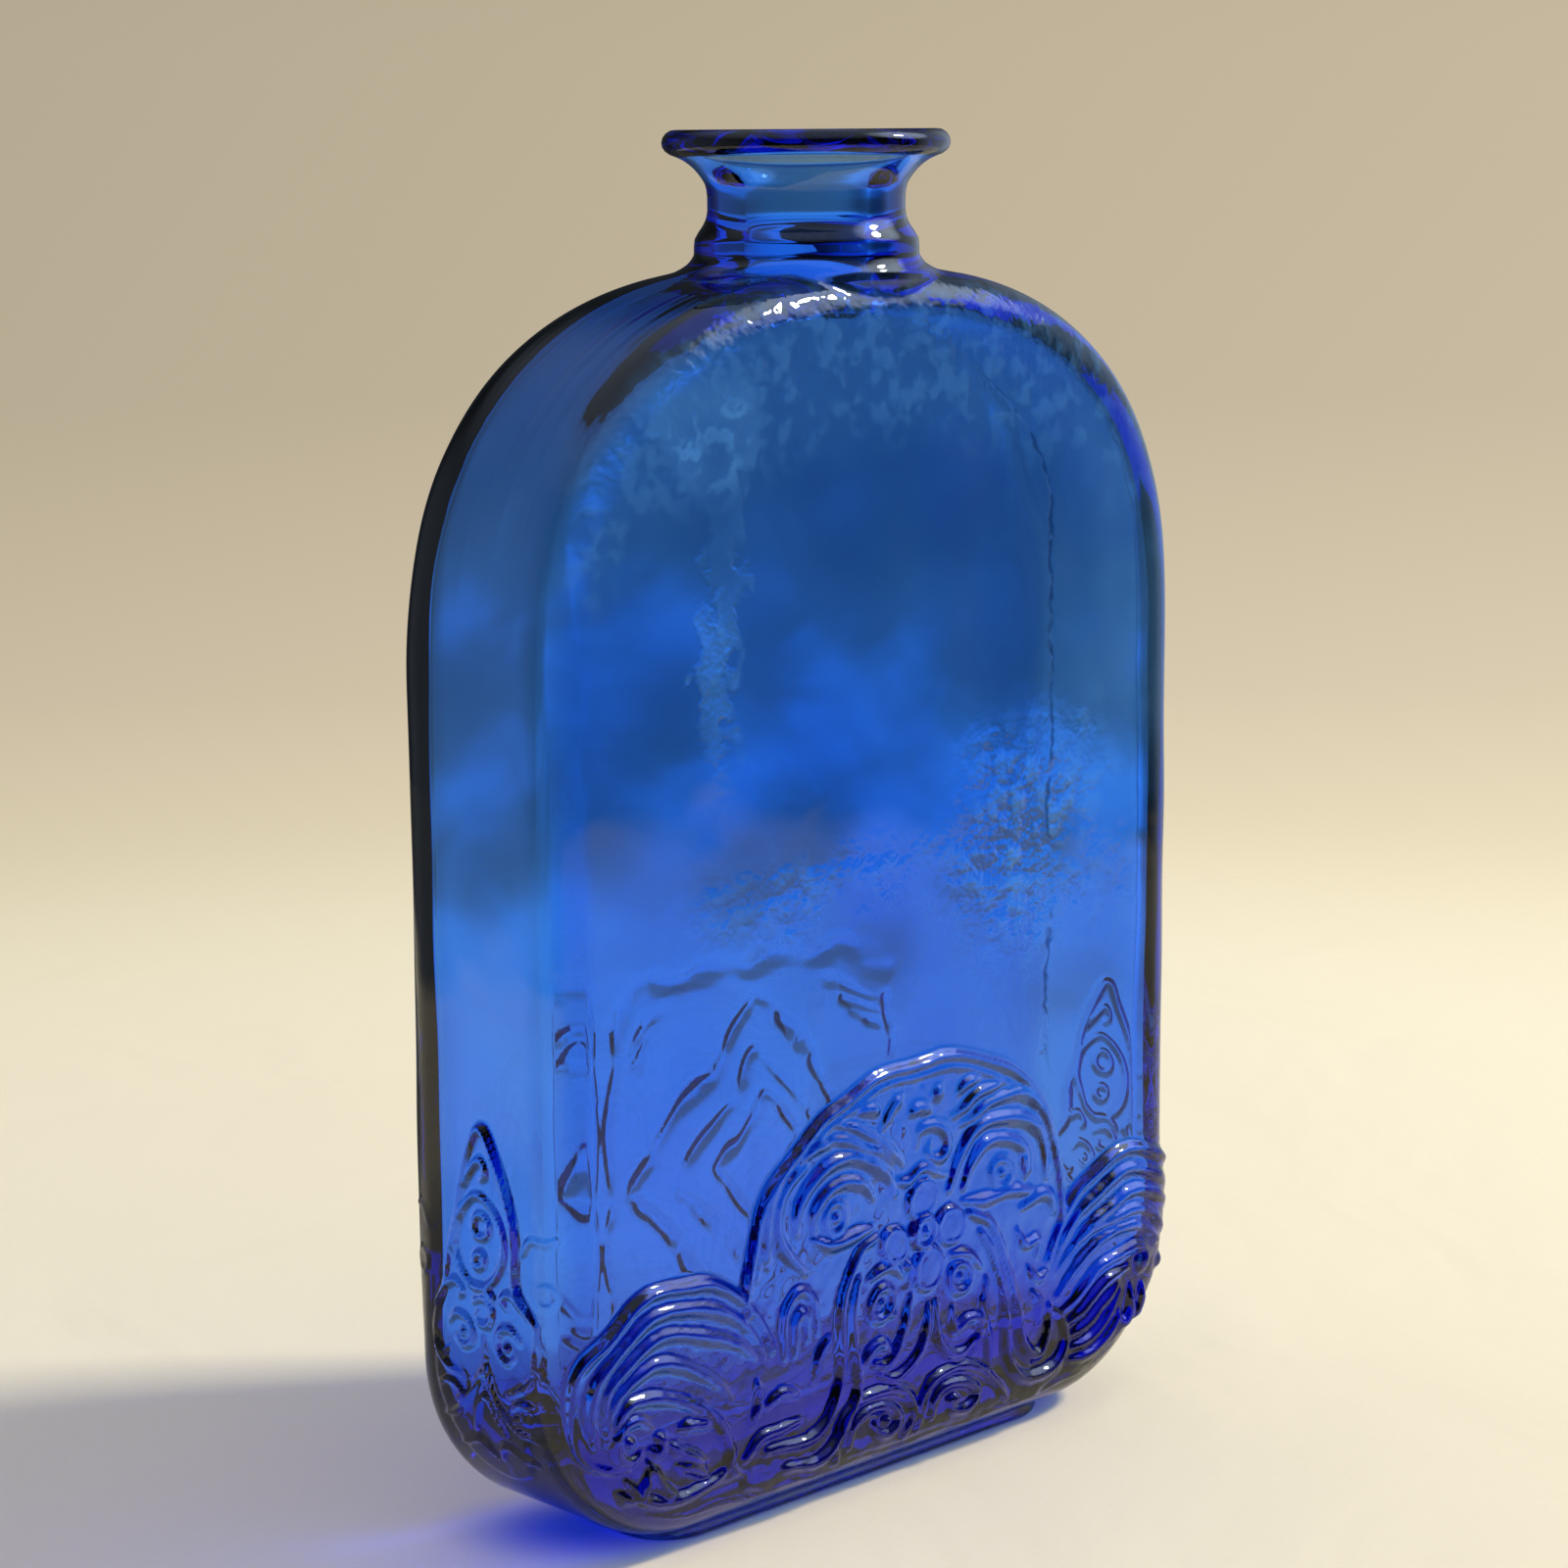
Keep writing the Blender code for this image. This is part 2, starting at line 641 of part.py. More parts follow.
def make_wave(face, side):
    """Nested ribs that rise at the edge and break towards the arch, over a shell."""
    name = "left" if side < 0 else "right"
    margin = WAVE_CLEARANCE + RIB_WIDTH / 2
    far = FLAT_HALF_WIDTH - margin - side * ORNAMENT_SHIFT
    near = ARCH_RADIUS * math.cos(math.radians(ARCH_SPRING_DEGREES))
    half = (far - near) / 2
    x = (far + near) / 2
    z = BODY_BOTTOM_Z + LOWER_CORNER_RADIUS * WAVE_BASE_SHARE
    sweep = 180 - WAVE_END_DEGREES
    steps = arc_steps(sweep)
    for rib in range(WAVE_RIBS):
        scale = 1 - WAVE_STEP_SHARE * rib
        points = []
        for step in range(steps + 1):
            angle = math.radians(WAVE_END_DEGREES + sweep * step / steps)
            reach = half * scale * math.cos(angle)
            points.append((side * (x - reach), z + WAVE_HEIGHT * scale * math.sin(angle)))
        section = "fine" if rib else "rib"
        face.rib(f"wave_{name}_{rib + 1}", points, section, widths=SOFT_TAPER_SHARES)
    centre = (side * (x - half * SHELL_PLACE_SHARES[0]), z + half * SHELL_PLACE_SHARES[1])
    shell = lobed(centre, half * SHELL_RADIUS_SHARE, SHELL_LOBES, SHELL_NOTCH_SHARE)
    face.medal(f"shell_{name}", shell, RIB_HEIGHT)


def make_spire(face):
    """A pointed leaf with a round seed, over a pair of volutes and a chevron."""
    right = []
    for step in range(PROFILE_STEPS):
        share = step / PROFILE_STEPS
        width_share = SPIRE_WIDTH_SHARE * (1 - share ** SPIRE_POWER)
        right.append(on_side((width_share, SPIRE_BASE_SHARE + (1 - SPIRE_BASE_SHARE) * share)))
    face.rib("spire_rim", right + [on_side((0, 1))] + mirrored(reversed(right)), "fine")
    oval = []
    for step in range(2 * CORNER_STEPS):
        angle = math.pi * step / CORNER_STEPS
        height_share = OVAL_PLACE_SHARE + OVAL_HEIGHT_SHARE * math.sin(angle)
        oval.append(on_side((OVAL_WIDTH_SHARE * math.cos(angle), height_share)))
    face.rib("oval_rim", oval, "fine", cyclic=True)
    middle = on_side((0, OVAL_PLACE_SHARE))
    seed = arc(middle, SIDE_FLAT_HALF * SEED_RADIUS_SHARE, 0, 360, 2 * CORNER_STEPS)[:-1]
    face.medal("seed", seed, RIB_HEIGHT)
    eye = SIDE_FLAT_HALF * SIDE_VOLUTE_EYE_SHARE
    radius = SIDE_FLAT_HALF * SIDE_VOLUTE_RADIUS_SHARE
    volute = spiral(on_side(SIDE_VOLUTE_SHARES), eye, radius, 90, -SIDE_VOLUTE_TURNS)
    face.pair("volute", volute, "fine", widths=TAPER_SHARES)
    leg = []
    for step in range(CHEVRON_STEPS):
        share = 1 - step / CHEVRON_STEPS
        height_share = CHEVRON_TOP_SHARE + (CHEVRON_FOOT_SHARE - CHEVRON_TOP_SHARE) * share
        leg.append(on_side((CHEVRON_WIDTH_SHARE * share, height_share)))
    face.rib("chevron", leg + [on_side((0, CHEVRON_TOP_SHARE))] + mirrored(reversed(leg)))


def make_panel(face):
    """A frame with round corners that holds nested lozenges."""
    middle = PANEL_FOOT_Z + PANEL_HEIGHT / 2
    corner = PANEL_HEIGHT / 2 * PANEL_CORNER_SHARE
    x = PANEL_WIDTH / 2 - corner
    z = PANEL_HEIGHT / 2 - corner
    frame = []
    for side_x, side_z, start in ((1, 1, 0), (-1, 1, 90), (-1, -1, 180), (1, -1, 270)):
        centre = (side_x * x, middle + side_z * z)
        frame += arc(centre, corner, start, start + 90, arc_steps(90))
    face.rib("frame", frame, cyclic=True)
    for lozenge in range(LOZENGE_COUNT):
        scale = LOZENGE_SHARE * (1 - LOZENGE_STEP_SHARE * lozenge)
        width = PANEL_WIDTH / 2 * scale
        height = PANEL_HEIGHT / 2 * scale
        corners = [(width, middle), (0, middle + height), (-width, middle), (0, middle - height)]
        face.rib(f"lozenge_{lozenge + 1}", corners, cyclic=True)


def main():
    clear_scene()
    parts = new_collection("embossed_glass_bottle")
    cutters = new_collection("cutters")
    clearance = hide_cutter(body_blank("body_clearance", GAP, cutters))
    make_vessel(parts, cutters)
    make_neck(parts, clearance)
    make_lip(parts)
    make_foot(parts, clearance)
    sections = {
        "rib": rib_profile("rib_section", RIB_WIDTH, RIB_HEIGHT, cutters),
        "fine": rib_profile("fine_rib_section", FINE_RIB_WIDTH, FINE_RIB_HEIGHT, cutters),
    }
    front = Face("front", 0, HALF_DEPTH, ORNAMENT_SHIFT, flat_drop, parts, sections)
    make_arch(front)
    make_plume(front)
    make_scrolls(front)
    make_stems(front)
    for side in (-1, 1):
        make_wave(front, side)
    make_spire(Face("left", -90, HALF_WIDTH, 0, corner_drop, parts, sections))
    make_spire(Face("right", 90, HALF_WIDTH, 0, corner_drop, parts, sections))
    make_panel(Face("back", 180, HALF_DEPTH, 0, flat_drop, parts, sections))


main()
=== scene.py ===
import math

import bpy
import numpy as np
from bpy.props import FloatProperty, FloatVectorProperty, PointerProperty
from mathutils import Matrix, Vector


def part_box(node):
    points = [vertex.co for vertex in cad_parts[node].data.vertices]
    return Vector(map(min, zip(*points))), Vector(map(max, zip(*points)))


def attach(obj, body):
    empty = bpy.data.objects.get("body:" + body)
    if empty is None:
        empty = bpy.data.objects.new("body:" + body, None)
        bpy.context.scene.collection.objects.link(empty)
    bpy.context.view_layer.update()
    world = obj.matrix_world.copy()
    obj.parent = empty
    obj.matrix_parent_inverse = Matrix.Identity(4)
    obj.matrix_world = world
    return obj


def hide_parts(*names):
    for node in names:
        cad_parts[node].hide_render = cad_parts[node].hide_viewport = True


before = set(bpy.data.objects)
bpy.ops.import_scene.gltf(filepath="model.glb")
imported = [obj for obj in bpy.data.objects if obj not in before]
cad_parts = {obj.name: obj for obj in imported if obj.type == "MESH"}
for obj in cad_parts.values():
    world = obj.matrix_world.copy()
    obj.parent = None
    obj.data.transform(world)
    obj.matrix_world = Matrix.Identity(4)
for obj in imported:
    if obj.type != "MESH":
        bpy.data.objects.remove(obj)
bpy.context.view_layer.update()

bl_info = {
    "name": "Embossed Glass Bottle",
    "version": (1, 0, 0),
    "blender": (4, 5, 0),
    "location": "View3D > Sidebar > Bottle",
    "description": "Builds a flat cobalt blue glass bottle with raised scrollwork, and its stage",
    "category": "Object",
}

# Shapes are worked out in millimetres and written to the meshes in metres.
MM = 0.001

# Sizes that the CAD model fixes: the body, its foot and the panel on its back
BODY_LOW, BODY_HIGH = ([value / MM for value in corner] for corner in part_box("glass_vessel"))
HALF_WIDTH, HALF_DEPTH, BODY_TOP = BODY_HIGH
BODY_FOOT = BODY_LOW[2]
FOOT_HALF_WIDTH, FOOT_HALF_DEPTH, _ = [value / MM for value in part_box("foot_rim")[1]]
PANEL_LOW, PANEL_HIGH = ([value / MM for value in corner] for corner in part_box("back_frame"))

# The foot's corners, and the height up to which its fillet can reach
FOOT_CORNER = 8.5
FOOT_REACH = 9
# Fillets: the neck on the body, the foot on the body, the floor of the hollow, and the bore
# into the hollow
NECK_FILLET = 2.6
FOOT_FILLET = 1.0
FLOOR_FILLET = 12.0
BORE_FILLET = 6.0

# The mesh: fine up to a height, for the raised work, then in coarser steps, also at the rear.
# Rows of the neck are given by their first height, last height and step
FINE_TOP = 68.0
REAR_COARSER = 1.7
COARSE_STEP = 1.05
FOOT_ROWS = [1.9, 2.2]
ARCH_END, NECK_ROWS = 175.4, (175.7, 185.4, 0.45)
INNER_FLOOR_RISE = 8
INNER_SIDE_STEP, INNER_ARCH_STEP = 2.0, 1.8
INNER_ARCH_END, INNER_NECK_ROWS = 170, (170.6, 185, 0.9)

# The neck from its root to the flare under the lip: height, radius
NECK = [
    (150, -40), (164, 0), (170, 10.6), (173.5, 15.2), (175.2, 17), (176.2, 17.2),
    (177.2, 16.4), (178.4, 15.95), (179.5, 15.95), (180.6, 15.85), (181.6, 15.3),
    (182.6, 14.6), (183.6, 14.15), (184.6, 14), (187, 14),
]
# The hollow of the neck: height, radius
BORE = [
    (150, -40), (164, -2), (171, 7.6), (174, 8.5), (176.5, 8.8), (179.5, 8.9), (182.5, 8.8),
    (185, 8.7), (187, 8.7),
]
# Over the flare and the bead, and down into the mouth: radius, height
LIP = [
    (14, 185.6), (14, 186.6), (14.1, 187.5), (14.3, 188.3), (14.7, 189), (15.2, 189.7),
    (15.8, 190.4), (16.6, 191.1), (17.5, 191.7), (18.4, 192.1), (19.2, 192.4), (19.9, 192.9),
    (20.28, 193.5), (20.38, 194.1), (20.2, 194.8), (19.75, 195.4), (19.1, 195.8),
    (18.3, 195.89), (17.2, 195.7), (15.9, 195.2), (14.4, 194.3), (12.9, 193.2),
    (11.6, 192), (10.5, 190.8), (9.7, 189.7), (9.1, 188.6), (8.75, 187.4), (8.7, 185.5),
]
# The foot's section, from the wall up into the recess: inset from the outline, height
FOOT_SECTION = [
    (0, 1.5), (0, 1), (0.2, 0.5), (0.6, 0.15), (1.2, 0), (2, 0), (2.6, 0.12),
    (3.1, 0.5), (3.4, 1), (3.7, 1.5), (4.3, 1.85),
]
# The recess under the body: share of its outline, height
FOOT_RECESS = [(0.75, 2.05), (0.5, 2.2), (0.25, 2.3), (0.06, 2.35)]
# The floor of the hollow: share of its outline, height over its rim
HOLLOW_FLOOR = [(0.8, 0), (0.55, 0.15), (0.3, 0.35), (0.08, 0.45)]

# The raised work on the front, in millimetres from the middle of the body and from the table
ARCH = [
    (-31.2, 33), (-30.9, 38.4), (-29.3, 45.7), (-26.1, 50.3), (-20.2, 55.8), (-13.8, 59.5),
    (-7.4, 62), (0, 63.3), (7.3, 63.6), (14.6, 62.7), (20.1, 61.1), (25.6, 58.1), (30.2, 54),
    (32.9, 50.3), (34.7, 46.2), (36.1, 40.2), (36.3, 33),
]
WAVE_RIM = [
    (-53.4, 16.3), (-56.8, 16.9), (-59.8, 18.8), (-61.6, 21.6), (-62.1, 25), (-61.4, 29.5),
    (-59.6, 33.4), (-55.4, 37), (-50.3, 39.6), (-45.5, 40.6), (-39, 39.6), (-34, 37.4),
    (-30.4, 34.6), (-27.4, 30.6), (-26, 27),
]
WAVE_RIBS = [
    [(-58.9, 21), (-59.1, 26), (-57.4, 31), (-53, 34.8), (-48, 36.8), (-43.5, 37.2), (-38, 35.8),
     (-33, 33), (-29.4, 29.6), (-27.6, 26)],
    [(-57.4, 24.5), (-56.4, 28.4), (-53, 31.6), (-48.5, 33.3), (-43.6, 33.5), (-38, 31.8),
     (-33, 29.2), (-29.4, 26.2)],
    [(-57.2, 21), (-56.4, 24.6), (-54, 28), (-50, 29.7), (-46, 29.5), (-41, 27.6), (-36.6, 25),
     (-33.4, 22)],
]
LEFT_WAVE = [
    [(-56, 20), (-55.2, 23.2), (-52.6, 25.9), (-49, 25.7), (-45.4, 24.4), (-41.4, 22.4),
     (-38.4, 20.2)],
    [(-48.6, 21.6), (-51.2, 23.3), (-54, 22.9), (-55.6, 20.9), (-55.3, 18.6), (-53.2, 17.4),
     (-51.2, 18.4)],
    [(-41.8, 23.6), (-37.4, 20.6), (-35.3, 18.1), (-34, 14.8), (-34.2, 12.3), (-32, 10.1)],
    [(-50.1, 17), (-47.2, 12.6), (-44.3, 10.5)],
    [(-46.5, 18.8), (-43.2, 16.3), (-39.2, 13.7)],
    [(-43.6, 19.9), (-40.2, 19.4), (-37.1, 19.2)],
    [(-44.6, 15.2), (-41, 13.4), (-38.6, 11.6)],
    [(-53.6, 14.6), (-50, 11.2), (-44.3, 10.2), (-38, 10.4), (-34.9, 11.6)],
    [(-54.5, 13), (-52.3, 11.6), (-50.5, 12.3), (-50.1, 15.5)],
    [(-49.6, 18.6), (-48, 18), (-47.2, 19.4), (-48.2, 20.4)],
]
RIGHT_WAVE = [
    [(34.9, 25), (37.9, 27.3), (42.6, 29.7), (49.9, 30.9), (56, 29.6), (61, 25.4)],
    [(34.6, 20.6), (37.9, 23.6), (43.6, 27), (47.9, 28.8), (53.6, 28), (58.6, 24.2)],
    [(35.6, 18.2), (41.2, 21), (45.9, 23.6), (52.6, 25), (57, 22.6)],
    [(36.6, 16), (42.3, 18.4), (47, 20.8), (51.6, 22.2)],
    [(37.6, 13.9), (42.9, 16), (47.3, 18.3), (49.6, 21)],
    [(37.2, 11.7), (42.9, 12.9), (46.6, 15), (49.9, 18.6)],
    [(37.6, 9.8), (42.3, 10.4), (47.3, 12.4), (49.6, 14.8)],
    [(48.6, 14.6), (50.3, 12.9), (52, 15), (52.4, 19)],
    [(52.6, 13.4), (54.6, 15.4), (55.2, 18.2)],
]
LEFT_SCROLL = [
    [(-19.4, 36.4), (-23.2, 40), (-24.9, 43), (-24.6, 46.6), (-22.2, 50.2), (-18.6, 52.4)],
    [(-21.2, 42.6), (-20.9, 45), (-19.4, 47.9), (-16.3, 50.4), (-11, 51.6), (-6.2, 50.5),
     (-2.2, 47.4), (-0.6, 44.6)],
    [(-17.4, 42.6), (-17.2, 45.2), (-14.6, 47.3), (-11, 48), (-7.4, 47.2), (-5, 44.8)],
    [(-17.6, 41.3), (-14.4, 40), (-10, 39.8), (-5.4, 40.2)],
    [(-26.9, 40.5), (-27.1, 44.6), (-25.4, 49), (-22.4, 52.6)],
]
RIGHT_SCROLL = [
    [(10.4, 42.6), (12.6, 47.2), (17, 50.6), (21.9, 51.6), (27.2, 50.3), (30.9, 47.4),
     (32.2, 43.9), (31.9, 40.2)],
    [(13.4, 42.4), (15.4, 45.8), (18.6, 47.9), (22, 48.3), (25.4, 47.4), (27.8, 45.2),
     (28.4, 42.4)],
    [(26.7, 45.3), (27.4, 43.4), (27, 41.4)],
    [(13.6, 40.6), (19, 39.4), (24, 39.6), (29.4, 38.9)],
    [(33.9, 44.6), (32.4, 49), (29.6, 52.4), (26.2, 54.8)],
    [(26.2, 36.4), (29.4, 38), (32.4, 37.4), (33.8, 34.4)],
]
LEAVES = [
    [(-3.7, 54.4), (-1.2, 56.8), (1.2, 58.7)],
    [(-8.2, 58.2), (-6.2, 58.2), (-3.8, 57.2)],
    [(8.1, 58.9), (8.6, 57.8), (8.8, 56.8)],
    [(12.6, 56.5), (14.4, 57.8), (17.2, 58.4)],
    [(-13.2, 56.9), (-9.6, 56.2), (-6.4, 54.4), (-3, 52), (0.6, 48.5)],
    [(-15.6, 54.7), (-11.6, 54.4), (-8, 52.9), (-4.4, 51.6), (-1.6, 49.2)],
    [(-19.6, 53.4), (-17, 54.3), (-14.2, 54)],
    [(11.7, 53.5), (14.2, 54.2), (17.4, 56.2), (22.3, 56.9)],
    [(13.4, 51.9), (16.4, 52.4), (20.1, 54.4), (25.1, 54.6), (28.8, 52)],
    [(3.4, 50.2), (4.4, 52.7), (7.1, 53.5), (9.8, 52), (10.2, 49.4), (8, 47.9), (5.8, 49),
     (6.6, 50.8)],
    [(2.4, 55.4), (4.6, 56.4), (7, 55.6)],
    [(-0.8, 46.6), (1.8, 45.6), (4.6, 46.8), (7.4, 45.9), (10, 45.2)],
]
STEMS = [
    [(-4.6, 38.6), (-8.4, 37.2), (-10.9, 34), (-11.9, 29.2), (-12, 22.4), (-13.1, 17.3),
     (-15.8, 13.4), (-20.4, 11.9), (-27, 12.2)],
    [(-8.6, 33.2), (-9.5, 29.2), (-9.1, 21.9), (-8.8, 17.2), (-10.4, 13.4), (-13.6, 9.9),
     (-17.9, 8.2), (-23.4, 8.6)],
    [(15.2, 38.6), (19, 36.3), (21.3, 32.9), (22.8, 29.2), (24.9, 22.4), (26.7, 16.4),
     (28.8, 13.4), (31.2, 12.9), (32.4, 15.5), (32.8, 19.6)],
    [(17.8, 35), (20.3, 30.8), (22.2, 24.7), (23.6, 15.4), (26, 11), (30.2, 9.6), (34.6, 9.9),
     (36.6, 13.2), (35.5, 17.2), (33.6, 18.6)],
]
SMALL_SCROLLS = [
    [(-23.5, 25.4), (-23.3, 30.9), (-21.6, 33.6), (-19.4, 33.8), (-17.2, 31.5), (-16.4, 27)],
    [(-21.4, 25.2), (-21.2, 29.2), (-19.9, 30.8), (-18.8, 29.4), (-18.6, 26.8)],
    [(-17.5, 20.6), (-16.6, 23.6), (-14.2, 25.8)],
    [(-26.8, 18.6), (-24, 20.2), (-21, 19.4)],
    [(-29.6, 17), (-28.2, 19.6), (-29, 22.6)],
    [(-31.4, 12.4), (-28.2, 14.6), (-24.6, 14.6), (-20.2, 15.4)],
    [(6.3, 26.4), (6, 21.9), (3.7, 18.3), (-0.6, 16.7), (-4.2, 18.2)],
    [(2.4, 28.3), (1.5, 23.6), (-0.2, 20.6), (-2.6, 19.3), (-5.2, 20)],
    [(-7.5, 20.4), (-5.6, 22.4), (-3, 22.6), (-1.6, 21)],
    [(7.6, 26.4), (8.3, 22.1), (10.5, 18.3), (13.8, 17), (16.6, 18.2)],
    [(11.2, 24.4), (12.1, 20.9), (14.4, 21.7), (16.8, 21.3), (17.8, 19.4), (16.5, 16.2)],
    [(18.6, 27.6), (18, 22.6), (19.4, 17.6), (19.9, 13)],
    [(25.8, 33), (27.6, 30.4), (30.2, 31.2), (30.6, 28.2)],
    [(28.4, 26.4), (30.4, 24.4), (32.6, 25.6)],
    [(29.2, 22.4), (30.6, 20.4), (30.2, 17.6)],
    [(-6.4, 32.6), (-2.2, 33.6), (0.6, 31.8)],
    [(11.2, 32.4), (14.6, 32.2), (17.4, 29.6)],
]
HUMPS = [
    [(-12.8, 7.4), (-12.6, 11.5), (-10.2, 14.2), (-5.5, 15.6), (-1, 15.1), (2.1, 12.8), (3, 10),
     (1.1, 7.4)],
    [(-10.2, 8.6), (-9.4, 11.4), (-6.2, 13.2), (-2.4, 12.9), (-0.3, 10.8), (-2, 8.9), (-4.6, 9.4),
     (-5.2, 10.8)],
    [(4, 7.6), (4.7, 11.6), (7.3, 14.4), (11.9, 15.5), (16.4, 14.1), (20.1, 11.4), (23.6, 7.2)],
    [(6.8, 8.6), (7.6, 11.4), (10.4, 13.1), (14.2, 12.5), (16.8, 10.3), (14.6, 8.6), (11.2, 8.9),
     (10.4, 10.6)],
]
FOOT_LINE = [
    (-50, 8.2), (-38, 6.4), (-22, 5.8), (0, 5.5), (22, 5.6), (38, 6.6), (50, 9.2),
]
PETALS = [(4.8, 42.4, 3.2), (11, 37.2, 3.3), (5.9, 31.9, 3.5), (-1, 36.9, 3.2)]
BUTTON = (5.1, 37.6)
BUD = (1.6, 33.4)
EYES = [(-12.9, 43.4), (21.9, 42.7)]
DROPS = [(-3.5, 28.3), (12.8, 28.6)]
BEADS = [
    (-53.4, 20.2, 1.4), (54.9, 22, 2), (60.4, 20.4, 1.5), (-2.8, 11, 1), (11.6, 10.6, 1),
    (-1.2, 26.2, 0.7),
]
# How each raised field is closed below its rim, its height, and how hammered it is
ARCH_FOOT = [(36, 8), (0, 6.5), (-31, 8)]
LEFT_FOOT = [(-30, 12), (-40, 9.4), (-50, 10.4)]
RIGHT_FOOT = [(38, 9), (47, 9.6), (55, 13)]
ARCH_FIELD = 0.45
WAVE_FIELD = 0.5
HAMMERED = 0.28

# The raised work on a narrow side, from back to front
SPIRE = [
    (-9.4, 36.6), (-6.9, 40), (-5.3, 47.5), (-3.8, 53.8), (-1.9, 58), (0.9, 63.9), (4, 60.4),
    (6.3, 55.6), (7.2, 51), (7.5, 42.5), (11.6, 37.6),
]
SPIRE_OVAL = [
    (0.4, 53.9), (-3.4, 51.6), (-4.6, 47.5), (-3.2, 43.2), (0.4, 41.2), (3.9, 43), (5.2, 47.2),
    (4.2, 51.5),
]
SIDE_STROKES = [
    [(-2.5, 54.8), (-0.6, 57.4), (1.4, 59.2), (2.4, 57.4), (1.2, 56.1)],
    [(-0.4, 41.9), (2, 41.2), (4, 39.6)],
    [(-6.6, 39.6), (-4.7, 41.2), (-3, 40.2), (-4, 38.8)],
    [(8.6, 39.6), (6.9, 41.2), (5.2, 40.2), (6.2, 38.8)],
    [(-0.9, 39.2), (1.6, 40.1), (3.2, 38.2), (1.8, 36.3), (-0.4, 36.8), (0.4, 38.2)],
    [(-9.2, 37.4), (-10, 33), (-7.4, 29.2), (-3.4, 27.3)],
    [(11.6, 36.9), (12.2, 33), (9.6, 29.2), (5.6, 27.3)],
    [(-6.4, 34.8), (-4.6, 36.4), (-2.2, 35.8), (-1.6, 33.4), (-3.4, 31.8), (-5.2, 32.8)],
    [(8.6, 34.8), (6.8, 36.4), (4.4, 35.8), (3.8, 33.4), (5.6, 31.8), (7.4, 32.8)],
    [(0.7, 34.4), (1.1, 30.2), (3.3, 25.4), (7, 22.7), (12, 20.8)],
    [(0.7, 30.2), (-1.6, 25.8), (-5.4, 22.6), (-9.6, 21)],
    [(-2.4, 20.2), (1.2, 25.8), (4.6, 20.2)],
    [(-8.4, 26), (-5.8, 26.6), (-3.4, 24.6), (-4.8, 23.2)],
    [(10.4, 26), (7.8, 26.6), (5.9, 25)],
    [(-7.6, 17.2), (-2.6, 18.8), (0, 16.2)],
    [(8.6, 17.2), (3.6, 18.8), (1, 16.2)],
    [(8.6, 47.6), (10.4, 50), (13, 49.6), (15.4, 50.2)],
    [(-10.6, 47.6), (-12.4, 50), (-15, 49.6)],
    [(-9.4, 31.6), (-7.6, 30.4), (-6.4, 31.4)],
]
SIDE_RINGS = [(0.6, 49.7, 1.6), (0.4, 45.1, 1), (12.6, 42.4, 1.5), (-12.6, 42.4, 1.5)]
SIDE_BEADS = [(-3.6, 33.8), (5.8, 33.8), (0.6, 29), (-4.4, 24.4), (7, 24.2)]
SPIRE_FOOT = [(9, 24), (5, 14), (-5, 14), (-9, 24)]
SPIRE_FIELD = 0.4

# The panel on the back: its line's inset, and how square its corners are
PANEL_INSET = 1
PANEL_SQUARENESS = 9
# Its lozenges and corner lines, as shares of its half width and half height
LOZENGE_SHARES = (0.86, 0.58, 0.3)
LOZENGE_SWELL_SHARE = 1.03
CORNER_SHARES = (0.62, 0.74, 0.86)

# Where something begins, and how far up, out or, below nothing, down from there it is full
RELIEF_BEGINS = (3.2, 1.8)
FRONT_CALMER = (57, 6)
SIDE_CALMER = (8.5, 3)
SIDE_BEGINS = 38
FACE_BEGINS = 4
UNEVEN_BEGINS = (6, 12)
UNEVEN_ENDS = (168, -20)
INNER_UNEVEN_ENDS = (165, -20)
# The same for how far the glass faces front or back, where the sides' relief begins
TURNED_SIDEWAYS = (0.97, -0.3)
# The slow unevenness: its longest wave, its number of waves, and how much more of it is inside
LONGEST_WAVE = 62
WAVES = 7
INNER_UNEVEN_MORE = 2.2

# The photo's camera: place in metres, turn, dip and roll in degrees, lens in millimetres
CAMERA_PLACE = (-0.3764, -0.3757, 0.1959)
CAMERA_ANGLES = (-44.65, 9.98, -0.42)
CAMERA_LENS = 85.46
SENSOR_WIDTH = 36
CAMERA_REACH = (0.01, 30)

# The lamp and the table, in metres, and the number of the table's sides
LAMP_PLACE = (1.26, -0.94, 1.56)
LAMP_SIZE = 0.25
LAMP_AIM = (0, 0, 0.09)
LAMP_COLOUR = (1.0, 0.97, 0.90)
TABLE_SIDES = 96
TABLE_DROP = 0.00002

# Marks in the glass, in metres. A pair says where a mark begins and where it is full
FRONT = (-0.012, -0.0165)
CREST_END = (0.178, 0.172)
FIELD_X, FIELD_Z = 0.034, 0.094
BAND_Z = 0.086
STREAK_X, STREAK_Z = -0.0335, 0.12
FOLD_X, FOLD_Z = 0.0332, 0.11
FOLD_BEND_Z = 0.14
BEYOND_Z = 0.122
SHOULDER = (0.125, 0.15)
SHOULDER_END = (0.173, 0.168)
# The bump's unit in metres, and the depth of each mark in such units
BUMP_UNIT = 0.0001
SLOW_DEPTH = 1.9
RIPPLE_DEPTH = 6.0
STREAK_DEPTH = 0.5
LINE_DEPTH = 2.2
FOLD_DEPTH = 0.3
BLOOM_COLOUR = (0.12, 0.42, 1.0)
# Painted shade: the near-black colour laid over the glass along the fold
FOLD_PAINTED_SHADE = (0.0, 0.012, 0.08)

# The blue spot beside the foot, where only light through the glass reaches the table
SPOT_X, SPOT_Y = -0.043, 0.004
SPOT_LONGER = 2.2
SPOT_REACH = 0.024
SPOT_COLOUR = (0.12, 0.18, 0.55, 1)
SPOT_GLOW = (0.01, 0.06, 0.62, 1)
